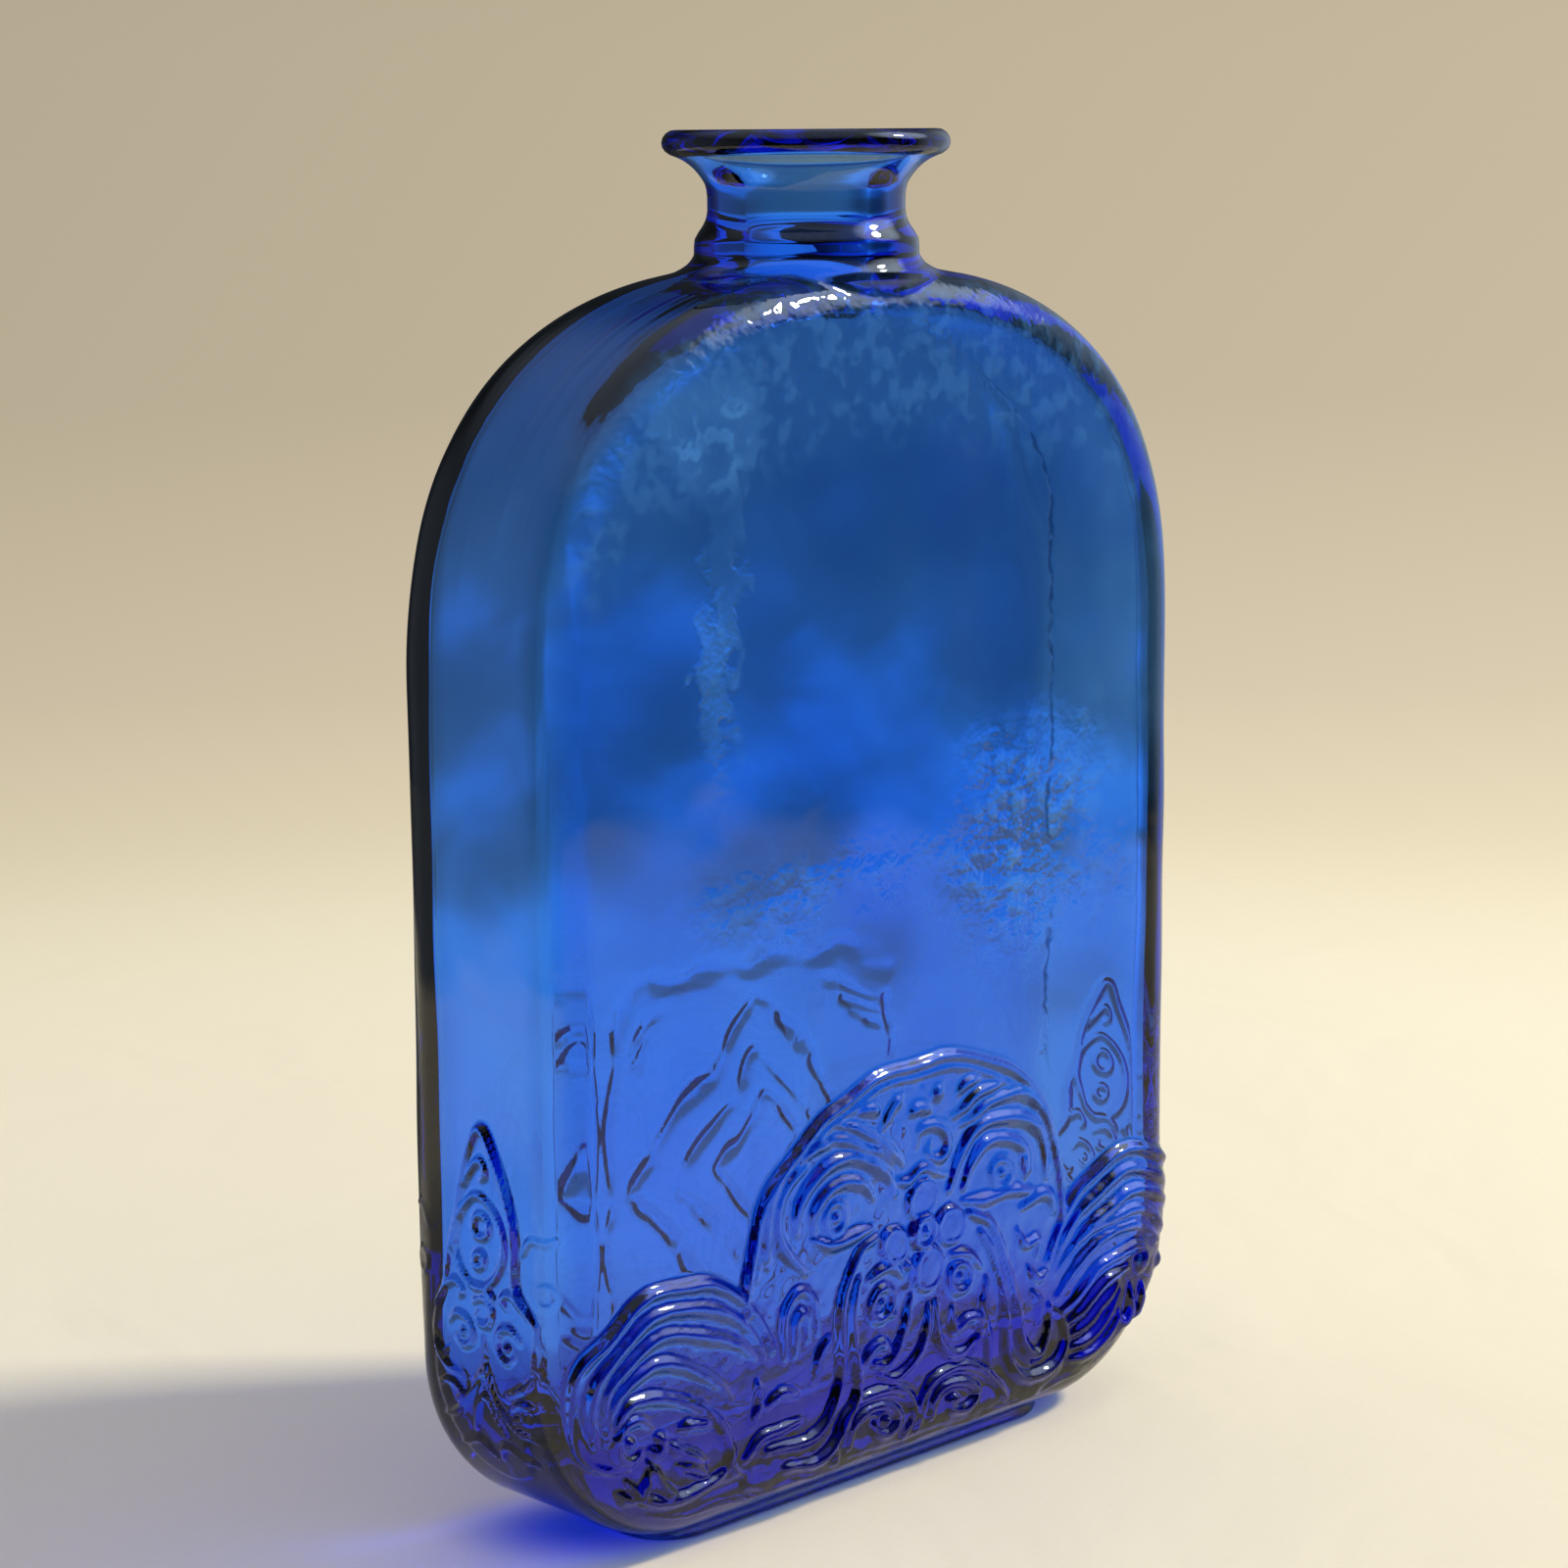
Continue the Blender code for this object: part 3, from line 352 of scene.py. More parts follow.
# What the table gives off where it is seen through the glass
THROUGH_GLOW = (0.3, 0.7, 0.9, 1)
TABLE_UNEVEN = 0.0011

# The heights of a view's direction between which the background's colours lie
WALL_HEIGHTS = (-0.3, 0.2)
# Tints of what is seen through the glass, low and high, and the side behind the camera
LOW_TINT = (1.0, 1.28, 1.62, 1)
HIGH_TINT = (0.95, 0.95, 0.88, 1)
DARK_SIDE = (0.01, 0.01, 0.015, 1)
# Towards the bright window, and the tint of what the glass reflects
WINDOW_AIM = (0.64, -0.40, 0.65)
REFLECTED_TINT = (0.8, 0.95, 1.2)


# Shapes

def soft_union(first, second, reach):
    """Joins two distances, with a fillet as wide as the reach."""
    near = np.maximum(reach - np.abs(first - second), 0)
    return np.minimum(first, second) - near * near / (4 * reach)


def round_corner(first, second, radius):
    """Joins the distances to two faces that meet in a round corner."""
    first, second = first + radius, second + radius
    inside = np.minimum(np.maximum(first, second), 0)
    return inside + np.hypot(np.maximum(first, 0), np.maximum(second, 0)) - radius


def foot_distance(x, y):
    return round_corner(np.abs(x) - FOOT_HALF_WIDTH, np.abs(y) - FOOT_HALF_DEPTH, FOOT_CORNER)


class Slab:
    """A flat body with round lower corners, an arched top and a rounded edge all round."""

    def __init__(self, half_width, half_depth, foot, spring, top, corner, edge, fullness):
        self.half_width = half_width
        self.half_depth = half_depth
        self.foot = foot
        self.spring = spring
        self.rise = top - spring
        self.corner = corner
        self.edge = edge
        self.fullness = fullness

    def outline(self, x, z):
        """Distance to the outline, as seen from the front."""
        low = round_corner(np.abs(x) - self.half_width, self.foot - z, self.corner)
        power = self.fullness
        u = np.abs(x) / self.half_width + 1e-9
        v = np.maximum(z - self.spring, 0) / self.rise + 1e-9
        scale = (u ** power + v ** power) ** (1 / power)
        slope_x = (u / scale) ** (power - 1) / self.half_width
        slope_z = (v / scale) ** (power - 1) / self.rise
        high = (scale - 1) / np.hypot(slope_x, slope_z)
        return np.where(z < self.spring, low, high)

    def distance(self, x, y, z):
        return round_corner(self.outline(x, z), np.abs(y) - self.half_depth, self.edge)

    def arch(self, step):
        """Heights along the side and the arched top, evenly spaced on the outline."""
        turn = np.linspace(0, math.pi / 2, 2000)
        x = self.half_width * np.cos(turn) ** (2 / self.fullness)
        z = self.spring + self.rise * np.sin(turn) ** (2 / self.fullness)
        run = np.concatenate([[0], np.cumsum(np.hypot(np.diff(x), np.diff(z)))])
        return np.interp(np.arange(0, run[-1], step), run, z)


def solve(distance, directions, heights, reach=90.0):
    """Where rays from the axis, one for each direction and height, meet a surface."""
    x = directions[:, 0][None, :]
    y = directions[:, 1][None, :]
    z = np.broadcast_to(np.asarray(heights, float)[:, None], (len(heights), len(directions)))
    near = np.zeros_like(z)
    far = np.full_like(z, reach)
    for _ in range(22):
        middle = (near + far) / 2
        inside = distance(middle * x, middle * y, z) < 0
        near = np.where(inside, middle, near)
        far = np.where(inside, far, middle)
    return np.stack([near * x, near * y, z], axis=-1)


def slopes(distance, points, step=0.04):
    """Unit normals of a surface at its points."""
    x, y, z = points[..., 0], points[..., 1], points[..., 2]
    normal = np.stack([
        distance(x + step, y, z) - distance(x - step, y, z),
        distance(x, y + step, z) - distance(x, y - step, z),
        distance(x, y, z + step) - distance(x, y, z - step),
    ], axis=-1)
    return normal / np.linalg.norm(normal, axis=-1, keepdims=True)


def columns(step, edge):
    """Directions round the body, closest together on the front where the raised work is."""
    right, back = HALF_WIDTH - edge, HALF_DEPTH - edge
    quarter = edge * math.pi / 2

    def bend(x, y, start, count):
        turn = np.radians(start) + np.linspace(0, math.pi / 2, count + 1)[:-1]
        return np.stack([x + edge * np.cos(turn), y + edge * np.sin(turn)], axis=-1)

    def run(start, end, count):
        share = np.linspace(0, 1, count + 1)[:-1, None]
        return np.array(start) * (1 - share) + np.array(end) * share

    front = 2 * round(right / step)
    side = 2 * round(back / step)
    rear = 2 * round(right / step / REAR_COARSER)
    turn = 2 * round(quarter / step / 2)
    points = np.concatenate([
        run((-right, -HALF_DEPTH), (right, -HALF_DEPTH), front),
        bend(right, -back, -90, turn),
        run((HALF_WIDTH, -back), (HALF_WIDTH, back), side),
        bend(right, back, 0, turn),
        run((right, HALF_DEPTH), (-right, HALF_DEPTH), rear),
        bend(-right, back, 90, turn),
        run((-HALF_WIDTH, back), (-HALF_WIDTH, -back), side),
        bend(-right, -back, 180, turn),
    ])
    return points / np.linalg.norm(points, axis=1, keepdims=True)


def curve_through(points, closed=False, parts=5):
    """A smooth line through points."""
    points = np.array(points, float)
    if closed:
        padded = np.concatenate([points[-1:], points, points[:2]])
    else:
        padded = np.concatenate([2 * points[:1] - points[1:2], points,
                                 2 * points[-1:] - points[-2:-1]])
    line = []
    for a, b, c, d in zip(padded[:-3], padded[1:-2], padded[2:-1], padded[3:]):
        for share in np.linspace(0, 1, parts + 1)[:-1]:
            line.append(0.5 * (2 * b + (c - a) * share + (2 * a - 5 * b + 4 * c - d) * share ** 2
                               + (3 * b - a - 3 * c + d) * share ** 3))
    return np.array(line + [padded[-2]])


def moved_in(points, amount):
    """A line beside another one, on its right when the amount is above nothing."""
    points = np.array(points, float)
    along = np.gradient(points, axis=0)
    along /= np.linalg.norm(along, axis=1, keepdims=True)
    return points + amount * np.stack([along[:, 1], -along[:, 0]], axis=-1)


def flipped(points, about=3.5):
    return [(2 * about - x, z) for x, z in points]


def smoothed(share):
    share = np.clip(share, 0, 1)
    return share * share * (3 - 2 * share)


def rising(value, start, width):
    """From nothing at the start to one after the width, with soft ends."""
    return smoothed((value - start) / width)


class Relief:
    """Height of the raised work at places on a flat drawing of one face, a little crooked."""

    def __init__(self, across, up, crooked=0.3):
        across = across + crooked * np.sin(up / 2.9 + across / 7)
        up = up + crooked * np.sin(across / 2.3 + up / 5)
        self.places = np.stack([across.ravel(), up.ravel()], axis=-1)
        self.shape = across.shape
        self.ground = np.zeros(len(self.places))
        self.ribs = np.zeros(len(self.places))

    def near(self, line, reach):
        low, high = line.min(axis=0) - reach, line.max(axis=0) + reach
        return np.flatnonzero(np.all((self.places > low) & (self.places < high), axis=1))

    def measure(self, index, line):
        """Distance to a line, and the share of its length at the nearest place."""
        start, step = line[:-1], np.diff(line, axis=0)
        length = np.linalg.norm(step, axis=1) + 1e-9
        run = np.concatenate([[0], np.cumsum(length)])
        best = np.full(len(index), 1e9)
        share = np.zeros(len(index))
        places = self.places[index]
        for first, move, size, begun in zip(start, step, length, run):
            offset = places - first
            part = np.clip((offset @ move) / size ** 2, 0, 1)
            gap = np.linalg.norm(offset - part[:, None] * move, axis=1)
            closer = gap < best
            best = np.where(closer, gap, best)
            share = np.where(closer, (begun + part * size) / run[-1], share)
        return best, share

    def around(self, x, z, reach):
        """Places near a point, and their distances from it."""
        index = self.near(np.array([[x, z]]), reach)
        return index, np.hypot(*(self.places[index] - (x, z)).T)

    def lift(self, index, rise):
        self.ribs[index] = np.maximum(self.ribs[index], rise)

    def rib(self, points, width, height, tips=(1, 1), closed=False):
        """A rounded ridge along a line, thinner towards its tips."""
        line = curve_through(points, closed)
        index = self.near(line, width)
        if not len(index):
            return
        gap, share = self.measure(index, line)
        size = np.minimum(1, np.minimum(tips[0] + (1 - tips[0]) * share * 4,
                                        tips[1] + (1 - tips[1]) * (1 - share) * 4))
        self.lift(index, height * size * np.clip(1 - (gap / (width * size)) ** 2, 0, 1) ** 1.25)

    def ring(self, x, z, radius, width=0.6, height=0.7):
        index, gap = self.around(x, z, radius + width)
        self.lift(index, height * np.clip(1 - ((gap - radius) / width) ** 2, 0, 1) ** 1.25)

    def dome(self, x, z, radius, height, power=2.0):
        index, gap = self.around(x, z, radius)
        self.lift(index, height * np.clip(1 - (gap / radius) ** power, 0, 1))

    def pad(self, points, height, edge=1.2, smooth=True):
        """A flat raised field inside a closed line."""
        line = curve_through(points, True) if smooth else np.array(points + points[:1], float)
        index = self.near(line, edge)
        gap, _ = self.measure(index, line)
        x, z = self.places[index].T
        inside = np.zeros(len(index), bool)
        for (ax, az), (bx, bz) in zip(line[:-1], line[1:]):
            crosses = (az > z) != (bz > z)
            meet = ax + (z - az) * (bx - ax) / (bz - az if bz != az else 1e-9)
            inside ^= crosses & (x < meet)
        rise = height * rising(np.where(inside, gap, -gap), -edge / 2, edge)
        self.ground[index] = np.maximum(self.ground[index], rise)

    def total(self):
        return (self.ground + self.ribs).reshape(self.shape)


def front_relief(across, up):
    """The arch with its rosette and scrolls, between two waves."""
    work = Relief(across, up)
    work.pad(ARCH + ARCH_FOOT, ARCH_FIELD)
    work.pad(WAVE_RIM + LEFT_FOOT, WAVE_FIELD)
    work.pad(flipped(WAVE_RIM) + RIGHT_FOOT, WAVE_FIELD)
    hammered = ripple(work.places[:, 0] * 9, work.places[:, 1] * 9, seed=2.2) * HAMMERED
    work.ground = work.ground * (1 + hammered)
    # Lines, width, height, and the size of both tips as shares
    for ribs, width, height, tips in (
            ([moved_in(ARCH, 0.8)], 0.8, 0.8, (1, 1)),
            ([moved_in(ARCH[1:-1], 2.5)], 0.5, 0.35, (0.8, 0.8)),
            ([WAVE_RIM, flipped(WAVE_RIM)], 1.1, 1.15, (0.6, 0.7)),
            (WAVE_RIBS, 1.3, 0.95, (0.5, 0.4)),
            ([flipped(rib) for rib in WAVE_RIBS[:2]], 1.25, 0.95, (0.5, 0.4)),
            (LEFT_WAVE + RIGHT_WAVE, 1.2, 0.95, (0.45, 0.45)),
            (LEFT_SCROLL + RIGHT_SCROLL, 1.3, 0.9, (0.5, 0.5)),
            (LEAVES, 1.1, 0.75, (0.4, 0.4)),
            (STEMS, 1.15, 1.1, (0.7, 0.6)),
            (SMALL_SCROLLS, 1.0, 0.85, (0.6, 0.6)),
            (HUMPS, 1.0, 0.9, (0.7, 0.6)),
            ([FOOT_LINE], 0.7, 0.45, (0.3, 0.3))):
        for rib in ribs:
            work.rib(rib, width, height, tips)
    for x, z, radius in PETALS:
        work.dome(x, z, radius, 0.75, 5)
        work.ring(x, z, radius - 0.6, 0.6, 1.0)
    work.dome(*BUTTON, 2.9, 0.9, 4)
    work.ring(*BUTTON, 2.1, 0.7, 1.4)
    work.dome(*BUTTON, 0.9, 1.5)
    work.dome(*BUD, 1.0, 1.1)
    for x, z in EYES:
        work.ring(x, z, 2.1, 0.9, 0.5)
        work.dome(x, z, 1.0, 0.8)
    for x, z in DROPS:
        work.ring(x, z, 2.2, 0.9, 0.8)
        work.dome(x, z, 0.8, 0.6)
    for x, z, radius in BEADS:
        work.dome(x, z, radius, 1.15)
    # Calmer towards the ends, where the face turns into the narrow sides
    work.ribs *= 1 - 0.6 * rising(np.abs(work.places[:, 0]), *FRONT_CALMER)
    return work.total()


def side_relief(across, up):
    """A spire with an oval in it, over small scrolls."""
    work = Relief(across, up)
    work.pad(SPIRE + SPIRE_FOOT, SPIRE_FIELD)
    work.rib(SPIRE, 0.75, 0.95, (0.8, 0.8))
    work.rib(SPIRE_OVAL, 0.6, 0.7, closed=True)
    for rib in SIDE_STROKES:
        work.rib(rib, 0.62, 0.7, (0.6, 0.5))
    for x, z, radius in SIDE_RINGS:
        work.ring(x, z, radius, 0.5, 0.7)
    work.ribs *= 1 - 0.75 * rising(np.abs(work.places[:, 0]), *SIDE_CALMER)
    for x, z in SIDE_BEADS:
        work.dome(x, z, 0.7, 0.9)
    return work.total()


def back_relief(across, up):
    """A frame with round corners that holds nested lozenges, crossed by fine lines."""
    work = Relief(across, up, 0.8)
    half = (PANEL_HIGH[0] - PANEL_LOW[0]) / 2 - PANEL_INSET
    middle = (PANEL_HIGH[2] + PANEL_LOW[2]) / 2
    tall = (PANEL_HIGH[2] - PANEL_LOW[2]) / 2 - PANEL_INSET
    turns = np.radians(np.arange(0, 360, 6) + 0.01)
    along, over = np.cos(turns), np.sin(turns)
    power = PANEL_SQUARENESS
    reach = (np.abs(along) ** power + np.abs(over) ** power) ** (-1 / power)
    frame_line = np.stack([half * reach * along, middle + tall * reach * over], axis=-1)
    work.rib(frame_line, 1.2, 0.8, closed=True)
    for share in LOZENGE_SHARES:
        corners = [(half * share, middle), (0, middle + tall * share),
                   (-half * share, middle), (0, middle - tall * share), (half * share, middle)]
        for start, end in zip(corners[:-1], corners[1:]):
            between = ((start[0] + end[0]) / 2 * LOZENGE_SWELL_SHARE,
                       middle + (start[1] + end[1] - 2 * middle) / 2 * LOZENGE_SWELL_SHARE)
            work.rib([start, between, end], 1.25, 0.85, (0.8, 0.8))
    for side_x in (-1, 1):
        for side_z in (-1, 1):
            for share in CORNER_SHARES:
                start = (side_x * half * (1.36 - share), middle + side_z * tall * (share + 0.05))
                end = (side_x * half * 0.9, middle + side_z * tall * share * 0.82)
                work.rib([start, end], 0.95, 0.6, (0.4, 0.4))
    worn = ripple(work.places[:, 0] * 5, work.places[:, 1] * 5, seed=0.7)
    work.ribs *= smoothed(0.55 + 0.9 * worn)
    return work.total()


def ripple(across, up, seed):
    """Slow unevenness of hand-finished glass, between about minus one and one."""
    wave = np.zeros_like(across)
    for place in range(WAVES):
        turn = seed + 2.4 * place
        length = LONGEST_WAVE / (1 + 0.45 * place)
        phase = (across * math.cos(turn) + up * math.sin(turn)) * 2 * math.pi / length
        wave = wave + np.sin(phase + seed * 3.1 + place * 1.7) / (1 + 0.55 * place)
    return wave / 3


def strip(last, here):
    """Faces between two rows, of which the second has as many points or half as many."""
    then = np.roll(here, -1)
    if len(last) == len(here):
        return np.stack([last, np.roll(last, -1), then, here], axis=-1).tolist()
    first, middle = last[::2], last[1::2]
    return np.stack([first, middle, here, middle, np.roll(first, -1), then,
                     middle, then, here], axis=-1).reshape(-1, 3).tolist()


class Glass:
    """Rows of points that make up the bottle, from the foot up and back down inside."""

    def __init__(self, shape):
        self.shape = shape
        self.step = shape.mesh_step / MM
        self.edge = shape.edge / MM
        self.spring = shape.spring / MM
        self.corner = shape.lower_corner / MM
        self.body = Slab(HALF_WIDTH, HALF_DEPTH, BODY_FOOT, self.spring, BODY_TOP, self.corner,
                         self.edge, shape.fullness)
        wall, side = shape.face_wall / MM, shape.side_wall / MM
        base = shape.base / MM
        self.hollow = Slab(HALF_WIDTH - side, HALF_DEPTH - wall, BODY_FOOT + base, self.spring,
                           BODY_TOP - wall, self.corner - side, shape.inner_edge / MM,
                           shape.fullness)
        self.directions = columns(self.step, self.edge)

    def outside(self, x, y, z):
        body = self.body.distance(x, y, z)
        heights, radii = zip(*NECK)
        neck = np.hypot(x, y) - np.interp(z, heights, radii)
        whole = soft_union(body, neck, NECK_FILLET)
        footed = soft_union(whole, foot_distance(x, y), FOOT_FILLET)
        return np.where(z < FOOT_REACH, footed, whole)

    def inside(self, x, y, z):
        """The hollow, from the thick base up into the bore of the neck."""
        hollow = self.hollow.distance(x, y, z)
        hollow = -soft_union(-hollow, z - self.hollow.foot, FLOOR_FILLET)
        bore = np.hypot(x, y) - np.interp(z, *zip(*BORE))
        return soft_union(hollow, bore, BORE_FILLET)

    def outer_heights(self):
        """Heights of the finer and of the coarser rows outside."""
        turn = np.arange(self.step / self.edge, math.pi / 2, self.step / self.edge)
        low = BODY_FOOT + self.edge * (1 - np.cos(turn))
        low = np.concatenate([FOOT_ROWS, low[low > BODY_FOOT + 0.02]])
        fine = np.arange(BODY_FOOT + self.edge + 0.2, FINE_TOP, self.step)
        coarse = np.arange(FINE_TOP + 0.8, self.spring - 0.4, COARSE_STEP)
        arch = self.body.arch(COARSE_STEP)
        neck = np.arange(*NECK_ROWS)
        return (np.concatenate([low, fine]),
                np.concatenate([coarse, arch[arch < ARCH_END], neck]))

    def inner_heights(self):
        base = self.hollow.foot
        turn = np.linspace(0, math.pi / 2, 14)[1:]
        low = base + INNER_FLOOR_RISE * (1 - np.cos(turn))
        middle = np.arange(low[-1] + 1.2, self.spring, INNER_SIDE_STEP)
        arch = self.hollow.arch(INNER_ARCH_STEP)
        return np.concatenate([[base + 0.02], low, middle, arch[arch < INNER_ARCH_END],
                               np.arange(*INNER_NECK_ROWS)])

    def dressed(self, points):
        """Raises the ornament out of the lower body, and adds the slow unevenness."""
        normal = slopes(self.outside, points)
        x, y, z = points[..., 0], points[..., 1], points[..., 2]
        # Places on a drawing that is unrolled round the body's edge
        reach = np.clip(self.body.outline(x, z) + self.edge, 0, self.edge)
        step = 0.05
        away_x = self.body.outline(x + step, z) - self.body.outline(x - step, z)
        away_z = self.body.outline(x, z + step) - self.body.outline(x, z - step)
        size = np.hypot(away_x, away_z) + 1e-9
        bend = np.arcsin(np.clip(reach / self.edge, 0, 1))
        unroll = self.edge * bend - reach
        on_side = np.abs(y) < HALF_DEPTH - self.edge
        past = np.where(on_side, HALF_DEPTH - self.edge - np.abs(y), 0)
        across = x + away_x / size * (unroll + past)
        up = z + away_z / size * (unroll + past)
        # The same on a narrow side, from back to front
        beyond = np.maximum(np.abs(y) - HALF_DEPTH + self.edge, 0)
        side_bend = np.arcsin(np.clip(beyond / self.edge, 0, 1))
        side_across = np.sign(-y) * (self.edge * side_bend - beyond) - y
        sideways = rising(np.abs(normal[..., 1]), *TURNED_SIDEWAYS)
        side = np.where(np.abs(x) > SIDE_BEGINS, side_relief(side_across, z) * sideways, 0)
        rise = np.maximum(np.where(y < -FACE_BEGINS, front_relief(across, up), 0), side)
        rise = np.where(y > FACE_BEGINS, np.maximum(rise, back_relief(across, up)), rise)
        rise = rise * rising(z, *RELIEF_BEGINS) * self.shape.relief
        uneven = self.shape.unevenness / MM
        slow = ripple(across + 0.6 * y, up, seed=1.3) * uneven * rising(z, *UNEVEN_BEGINS)
        slow = slow * rising(z, *UNEVEN_ENDS)
        return points + normal * (rise + slow)[..., None]

    def foot_rows(self):
        """From the middle of the recess out and up to the body."""
        rows = []
        for inset, height in FOOT_SECTION:
            rows.append(solve(lambda x, y, z: foot_distance(x, y) + inset,
                              self.directions, [height])[0])
        recess = rows[-1]
        for share, height in FOOT_RECESS:
            rows.append(np.column_stack([recess[:, :2] * share, np.full(len(recess), height)]))
        return rows[::-1]

    def inner_rows(self, directions):
        """From the mouth down to the rim of the floor, with the unevenness of the inside."""
        rows = solve(self.inside, directions, self.inner_heights()[::-1])
        uneven = self.shape.unevenness / MM * INNER_UNEVEN_MORE
        swing = ripple(rows[..., 0] + rows[..., 1], rows[..., 2], seed=4.2) * uneven
        calm = rising(rows[..., 2], *INNER_UNEVEN_ENDS)
        return rows + slopes(self.inside, rows) * (swing * calm)[..., None]

    def mesh(self, name):
        low, high = self.outer_heights()
        sparse = self.directions[::2]
        fine = self.dressed(solve(self.outside, self.directions, low))
        upper = self.dressed(solve(self.outside, sparse, high))
        lip = [np.column_stack([sparse * radius, np.full(len(sparse), height)])
               for radius, height in LIP]
        inner = self.inner_rows(sparse)
        floor = [np.column_stack([inner[-1][:, :2] * share, inner[-1][:, 2] + lift])
                 for share, lift in HOLLOW_FLOOR]
        return self.join(name, [*self.foot_rows(), *fine, *upper, *lip, *inner, *floor])

    def join(self, name, rows):
        """Makes the mesh from closed rows, and closes both ends."""
        points, faces = [rows[0].mean(axis=0)[None]], []
        last, start = None, 1
        for row in rows:
            here = start + np.arange(len(row))
            if last is None:
                faces += [(0, b, a) for a, b in zip(here, np.roll(here, -1))]
            else:
                faces += strip(last, here)
            points.append(row)
            start += len(row)
            last = here
        points.append(rows[-1].mean(axis=0)[None])
        faces += [(a, b, start) for a, b in zip(last, np.roll(last, -1))]
        mesh = bpy.data.meshes.new(name)
        mesh.from_pydata((np.concatenate(points) * MM).tolist(), [],
                         [tuple(map(int, face)) for face in faces])
        mesh.validate()
        mesh.polygons.foreach_set("use_smooth", [True] * len(mesh.polygons))
        mesh.update()
        return mesh


# Shader nodes

def operator(kind):
    """A Math node's method for a value on its left, and for one on its right."""
    return (lambda self, other: self.maths(kind, self, other),
            lambda self, other: self.maths(kind, other, self))


class Value:
    """A node's output, which adds Math nodes when it is used in an expression."""

    def __init__(self, recipe, socket):
        self.recipe = recipe
        self.socket = socket

    def maths(self, operation, *numbers):
        return self.recipe.node("ShaderNodeMath", {"operation": operation},
                                dict(enumerate(numbers)))["Value"]

    __add__, __radd__ = operator("ADD")
    __sub__, __rsub__ = operator("SUBTRACT")
    __mul__, __rmul__ = operator("MULTIPLY")
    __truediv__, __rtruediv__ = operator("DIVIDE")
    __pow__, __rpow__ = operator("POWER")

    def __abs__(self):
        return self.maths("ABSOLUTE", self)

    def at_least(self, other):
        return self.maths("MAXIMUM", self, other)

    def at_most(self, other):
        return self.maths("MINIMUM", self, other)


class Recipe:
    """The nodes of one material or world."""

    def __init__(self, owner):
        owner.use_nodes = True
        self.tree = owner.node_tree
        self.tree.nodes.clear()

    def node(self, kind, settings=None, sockets=None):
        """Adds a node, sets or links its sockets, and returns its outputs by name."""
        made = self.tree.nodes.new(kind)
        for name, value in (settings or {}).items():
            if name == "stops":
                while len(made.color_ramp.elements) < len(value):
                    made.color_ramp.elements.new(1)
                for stop, (place, colour) in zip(made.color_ramp.elements, value):
                    stop.position = place
                    stop.color = (*colour, 1)
            else:
                setattr(made, name, value)
        for name, value in (sockets or {}).items():
            if isinstance(value, Value):
                self.tree.links.new(value.socket, made.inputs[name])
            else:
                made.inputs[name].default_value = value
        return {out.name: Value(self, out) for out in made.outputs if out.enabled}

    def blend(self, share, first, second):
        """Mixes two colours."""
        return self.node("ShaderNodeMix", {"data_type": "RGBA"},
                         {0: share, 6: first, 7: second})["Result"]

    def mix(self, share, first, second):
        """Mixes two shaders."""
        return self.node("ShaderNodeMixShader", None, {0: share, 1: first, 2: second})["Shader"]

    def ramp(self, value, low, high):
        """From nothing at the first value to one at the second, with soft ends."""
        return self.node("ShaderNodeMapRange", {"interpolation_type": "SMOOTHSTEP"},
                         {"Value": value, "From Min": low, "From Max": high})["Result"]

    def place(self, space):
        """A place as a vector, and its three parts."""
        place = self.node("ShaderNodeTexCoord")[space]
        parts = self.node("ShaderNodeSeparateXYZ", None, {"Vector": place})
        return place, parts["X"], parts["Y"], parts["Z"]

    def vector(self, operation, sockets):
        return self.node("ShaderNodeVectorMath", {"operation": operation}, sockets)["Vector"]

    def noise(self, place, **settings):
        return self.node("ShaderNodeTexNoise", None, {"Vector": place, **settings})["Fac"]

    def bump(self, height, unit):
        return self.node("ShaderNodeBump", None, {
            "Strength": 1.0, "Distance": unit, "Height": height})["Normal"]

    def diffuse(self, colour):
        return self.node("ShaderNodeBsdfDiffuse", None, {"Color": (*colour, 1)})["BSDF"]

    def clear(self, colour=(1, 1, 1)):
        return self.node("ShaderNodeBsdfTransparent", None, {"Color": (*colour, 1)})["BSDF"]


def rippled_field(ramp, x, z, slow):
    """A rippled field right of the middle, and a band of ripples across the face."""
    field = ramp(abs(x - FIELD_X), 0.026, 0.008) * ramp(abs(z - FIELD_Z), 0.024, 0.008)
    band = ramp(abs(z - BAND_Z - slow * 0.008), 0.009, 0.002) * ramp(abs(x), 0.05, 0.02)
    return field + band * 0.55


def left_streak(ramp, x, z, fine, wander):
    """A ragged streak that runs down the left, wider at its top."""
    beside = abs(x - STREAK_X + (z - STREAK_Z) * 0.05 + wander * 0.012) + fine * 0.016
    width = ramp(z, 0.105, 0.150) * 0.0016 + ramp(z, 0.143, 0.158) * 0.0060
    streak = ramp(beside - width, 0.0032, 0.0)
    return streak * ramp(z, 0.100, 0.128) * ramp(z + fine * 0.03, 0.1665, 0.159)


def right_fold(ramp, x, z, fine, slow, wander):
    """A thin fold that wanders down the right of the front and bends in at its top."""
    bent = (z - FOLD_BEND_Z).at_least(0.0)
    off = x - FOLD_X + bent * bent * 30.0 + wander * 0.008 + fine * 0.003
    fold = ramp(abs(off), 0.0007, 0.0) * ramp(abs(z - FOLD_Z), 0.056, 0.045)
    return fold * ramp(slow, 0.36, 0.5)


